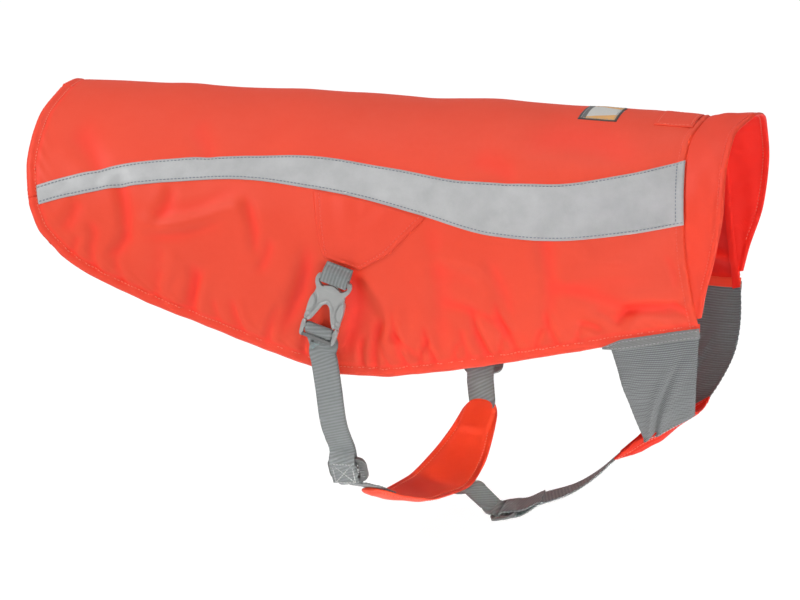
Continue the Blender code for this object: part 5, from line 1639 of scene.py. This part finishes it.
def moulded(name, place, outline_points, holes, thickness, shape, pitch=0.9, edge=0.55,
            finish=None):
    """A plate cut into small cells, shaped by shape(across, down, share of thickness)."""
    work = bmesh.new()
    edges = []
    for loop in [outline_points] + holes:
        verts = [work.verts.new((a, d, -0.5)) for a, d in loop]
        edges += [work.edges.new((v, w)) for v, w in zip(verts, verts[1:] + verts[:1])]
    bmesh.ops.triangle_fill(work, edges=edges, use_beauty=True)
    low = np.min(outline_points, axis=0)
    high = np.max(outline_points, axis=0)
    for axis, normal in enumerate(((1.0, 0.0, 0.0), (0.0, 1.0, 0.0))):
        for level in np.arange(low[axis] + pitch / 2, high[axis], pitch):
            bmesh.ops.bisect_plane(work, geom=work.verts[:] + work.edges[:] + work.faces[:],
                                   plane_co=[level * part for part in normal], plane_no=normal)
    grown = bmesh.ops.extrude_face_region(work, geom=work.faces[:])
    top = [v for v in grown["geom"] if isinstance(v, bmesh.types.BMVert)]
    bmesh.ops.translate(work, verts=top, vec=(0.0, 0.0, 1.0))
    for vert in work.verts:
        a, d, share = vert.co
        level = thickness * share + shape(a, d, share)
        vert.co = Vector(place.point(a, d, level)) * MM
    bmesh.ops.recalc_face_normals(work, faces=work.faces[:])
    mesh = bpy.data.meshes.new(name)
    work.to_mesh(mesh)
    work.free()
    mesh.materials.append(finish or PLASTIC)
    mesh.shade_smooth()
    piece = bpy.data.objects.new(name, mesh)
    bpy.context.scene.collection.objects.link(piece)
    bevel = piece.modifiers.new("round_edges", "BEVEL")
    bevel.width = edge * MM
    bevel.segments = 3
    bevel.limit_method = "ANGLE"
    bevel.angle_limit = math.radians(55.0)
    normals = piece.modifiers.new("even_shading", "WEIGHTED_NORMAL")
    normals.keep_sharp = False
    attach(piece, BODY)
    return piece


def line_gap(a, d, first, second):
    """Distance of a place (a, d) from a straight line between two others."""
    run_a, run_d = second[0] - first[0], second[1] - first[1]
    reach = (a - first[0]) * run_a + (d - first[1]) * run_d
    share = min(1.0, max(0.0, reach / (run_a ** 2 + run_d ** 2)))
    return math.hypot(a - first[0] - run_a * share, d - first[1] - run_d * share)


def socket_shape(a, d, share):
    """Relief of the socket: thin loop at the top, side buttons, raised rim round the window."""
    side = 1.0 if share > 0 else -1.0
    a = abs(a)
    thin = 1.0 - min(1.0, max(0.0, (d - 3.5) / 6.0))
    level = -1.1 * thin - 0.9 * max(0.0, (a - 6.0) / 7.6) ** 2 * (1.0 - thin)
    reach = math.hypot((a - 12.6) / 4.6, (d - 21.5) / 8.2)
    level += 0.7 if reach < 0.85 else 0.0
    rim = ((8.4, 34.6), (3.0, 21.0), (0.0, 18.6))
    window = min(line_gap(a, d, *rim[:2]), line_gap(a, d, *rim[1:]))
    level += 0.7 * bump_at(window, 0.9, 0.8) - 0.7 * bump_at(window, 2.7, 0.6)
    return side * (level - bump_at(reach, 1.0, 0.13) - 0.7 * bump_at(d, 32.6, 0.5))


def plug_shape(a, d, share):
    """Relief of the plug: a sunk grip below the bar and raised shoulders."""
    side = 1.0 if share > 0 else -1.0
    grip = d > 43.0 and abs(a) < 10.6
    shoulder = d < 38.0 and abs(a) > 10.0
    return side * (shoulder - 0.95 * grip)


def build_buckle(side, end):
    place = buckle_place(side)
    socket = moulded("buckle_body_" + end, place, soften(both_halves(SOCKET_HALF)),
                     [soften(both_halves(SOCKET_SLOT_HALF))], SOCKET_WALL - 0.6, socket_shape,
                     0.7, 0.7)
    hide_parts("buckle_socket_" + end)
    plug = moulded("buckle_plug_body_" + end, place, soften(both_halves(PLUG_HALF)),
                   [both_halves(PLUG_SLOT_HALF)], PLUG_WALL, plug_shape, 0.9, 0.5)
    # Painted shade: the plug's lower bar, below the webbing's roll, gets the darker plastic.
    plug.data.materials.append(SHADED_PLASTIC)
    for face in plug.data.polygons:
        spot = np.array(face.center) / MM - place.origin
        below = float(spot.dot(place.down)) > 44.8
        face.material_index = int(below and abs(float(spot.dot(place.across))) < 11.5)
    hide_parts("buckle_plug_" + end)


def rounded_box(half_width, top, bottom, corner):
    """A closed outline with rounded corners."""
    points = []
    for turn, (sx, sy) in enumerate(((1, 1), (-1, 1), (-1, -1), (1, -1))):
        middle_x = sx * (half_width - corner)
        middle_y = (top + bottom) / 2 + sy * ((bottom - top) / 2 - corner)
        for step in range(6):
            angle = math.radians(90.0 * turn + 18.0 * step)
            points.append((middle_x + corner * math.cos(angle),
                           middle_y + corner * math.sin(angle)))
    return points


def slider_shape(a, d, share):
    """Relief of an adjuster: rounded ends, raised bars, ridges on the middle bar and ends."""
    side = 1.0 if share > 0 else -1.0
    level = 0.35 * (bump_at(abs(d), 8.6, 1.2) - (abs(a) / 14.0) ** 4)
    if abs(d) < 1.6 and abs(a) < 10.5:
        level += 0.15 * math.sin(a * 3.2)
    if 9.0 < abs(a) < 12.6 and abs(d) < 7.0:
        level += 0.4 * math.sin(d * 2.9)
    return side * level


def build_slider(name, node, place, grip=(0.0, 0.0)):
    """A frame with two slots; grip is how much of each end is filled with ridged plastic."""
    outline_points = rounded_box(SLIDER_WIDTH / 2, -SLIDER_LENGTH / 2, SLIDER_LENGTH / 2, 6.4)
    slot_height = (SLIDER_LENGTH - 3 * SLIDER_BAR) / 2
    holes = []
    slot_half = (SLIDER_SLOT_WIDTH - grip[0] - grip[1]) / 2
    slot_middle = (grip[0] - grip[1]) / 2
    for top in (-SLIDER_BAR / 2 - slot_height, SLIDER_BAR / 2):
        slot = rounded_box(slot_half, top, top + slot_height, 1.0)
        holes.append([(a + slot_middle, d) for a, d in slot])
    piece = moulded(name, place, outline_points, holes, SLIDER_WALL, slider_shape, 0.9, 0.85,
                    SHADED_PLASTIC)
    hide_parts(node)


# ---- build ----
back_cloth, back_points = build_back()
side_cloths = {name: build_side(way, name) for way, name in SIDES}
hems = {name: build_hem(way, name) for way, name in SIDES}
welts = {name: build_neck_welt(way, name) for way, name in SIDES}
declare(back_cloth, back_points)
for way, name in SIDES:
    panel, panel_points = side_cloths[name]
    declare(panel, panel_points)
    build_stripe(way, name)
    build_yoke(way, name)
spine_piece("plain_label", LABEL_X, LABEL_HALF, "spine_label", "label_cloth", LABEL_CLOTH, 0.6)
spine_piece("leash_opening_patch", LEASH_X, LEASH_HALF, "leash_patch", "shell_cloth", PATCH, 0.75)
build_collar()
build_strip()
for way, name in SIDES:
    build_knit(way, name)
    build_binding(way, name)
build_pad()
for way, name in SIDES:
    build_buckle(way, name)
    build_tab(way, name)
    build_strap(way, name)
build_chest_webbing()


# ---- floor, light and camera ----
FLOOR_Z = -0.3135
FLOOR_HALF = 30.0


def build_floor():
    mesh = bpy.data.meshes.new("floor")
    corners = [(x * FLOOR_HALF, y * FLOOR_HALF, FLOOR_Z)
               for x, y in ((-1, -1), (1, -1), (1, 1), (-1, 1))]
    mesh.from_pydata(corners, [], [(0, 1, 2, 3)])
    paper = Finish("pale_paper", (0.10, 0.10, 0.10), 0.9, {"Specular IOR Level": 0.1,
                                                           "Emission Color": (1.0, 1.0, 1.0, 1.0),
                                                           "Emission Strength": 0.965})
    mesh.materials.append(paper.material)
    floor = bpy.data.objects.new("floor", mesh)
    bpy.context.scene.collection.objects.link(floor)


LIGHTS = (                  # name, place, what it is aimed at, size, watts, spread in degrees
    ("key", (-2.0, -1.2, 1.7), (0.0, 0.0, -0.1), (0.6, 0.4), 46.0, 180.0),
    ("fill", (2.4, -1.9, 0.7), (0.0, 0.0, -0.2), (1.0, 0.8), 11.0, 180.0),
    ("low", (0.9, -3.0, 0.1), (0.1, 0.0, -0.2), (1.2, 0.5), 6.3, 180.0),
    ("top", (0.0, 0.6, 2.4), (0.0, 0.0, 0.0), (1.6, 1.0), 18.0, 180.0),
    ("pad", (0.75, -2.6, -0.02), (0.045, 0.0, -0.31), (0.24, 0.16), 0.085, 6.0),
    ("neck", (2.2, -2.0, 0.05), (0.20, 0.03, -0.21), (0.3, 0.2), 0.16, 14.0),
)


def add_light(name, place, target, size, watts, spread):
    lamp = bpy.data.lights.new(name, "AREA")
    lamp.shape = "RECTANGLE"
    lamp.size, lamp.size_y = size
    lamp.energy = watts
    lamp.spread = math.radians(spread)
    light = bpy.data.objects.new(name, lamp)
    light.location = place
    light.rotation_euler = (Vector(target) - Vector(place)).to_track_quat("-Z", "Y").to_euler()
    bpy.context.scene.collection.objects.link(light)


def build_stage():
    build_floor()
    world = bpy.data.worlds.new("studio")
    world.use_nodes = True
    world.node_tree.nodes["Background"].inputs[0].default_value = (1.0, 1.0, 1.0, 1.0)
    world.node_tree.nodes["Background"].inputs[1].default_value = 0.30
    scene = bpy.context.scene
    scene.world = world
    scene.view_settings.view_transform = "Standard"
    for row in LIGHTS:
        add_light(*row)


CAMERA_TURN = math.radians(14.3)
CAMERA_RISE = math.radians(14.3)
CAMERA_GAP = 6.4
CAMERA_SHIFT = (0.00432, -0.144)


def build_camera():
    camera = bpy.data.cameras.new("camera")
    camera.lens = 400.0
    camera.sensor_width = 36.0
    camera.clip_end = 100.0
    body = bpy.data.objects.new("camera", camera)
    sin_turn, cos_turn = math.sin(CAMERA_TURN), math.cos(CAMERA_TURN)
    sin_rise, cos_rise = math.sin(CAMERA_RISE), math.cos(CAMERA_RISE)
    right = Vector((cos_turn, sin_turn, 0.0))
    up = Vector((-sin_turn * sin_rise, cos_turn * sin_rise, cos_rise))
    towards = Vector((sin_turn * cos_rise, -cos_turn * cos_rise, sin_rise))
    target = right * CAMERA_SHIFT[0] + up * CAMERA_SHIFT[1]
    body.location = target + towards * CAMERA_GAP
    body.rotation_euler = (-towards).to_track_quat("-Z", "Y").to_euler()
    bpy.context.scene.collection.objects.link(body)
    bpy.context.scene.camera = body


build_stage()
build_camera()
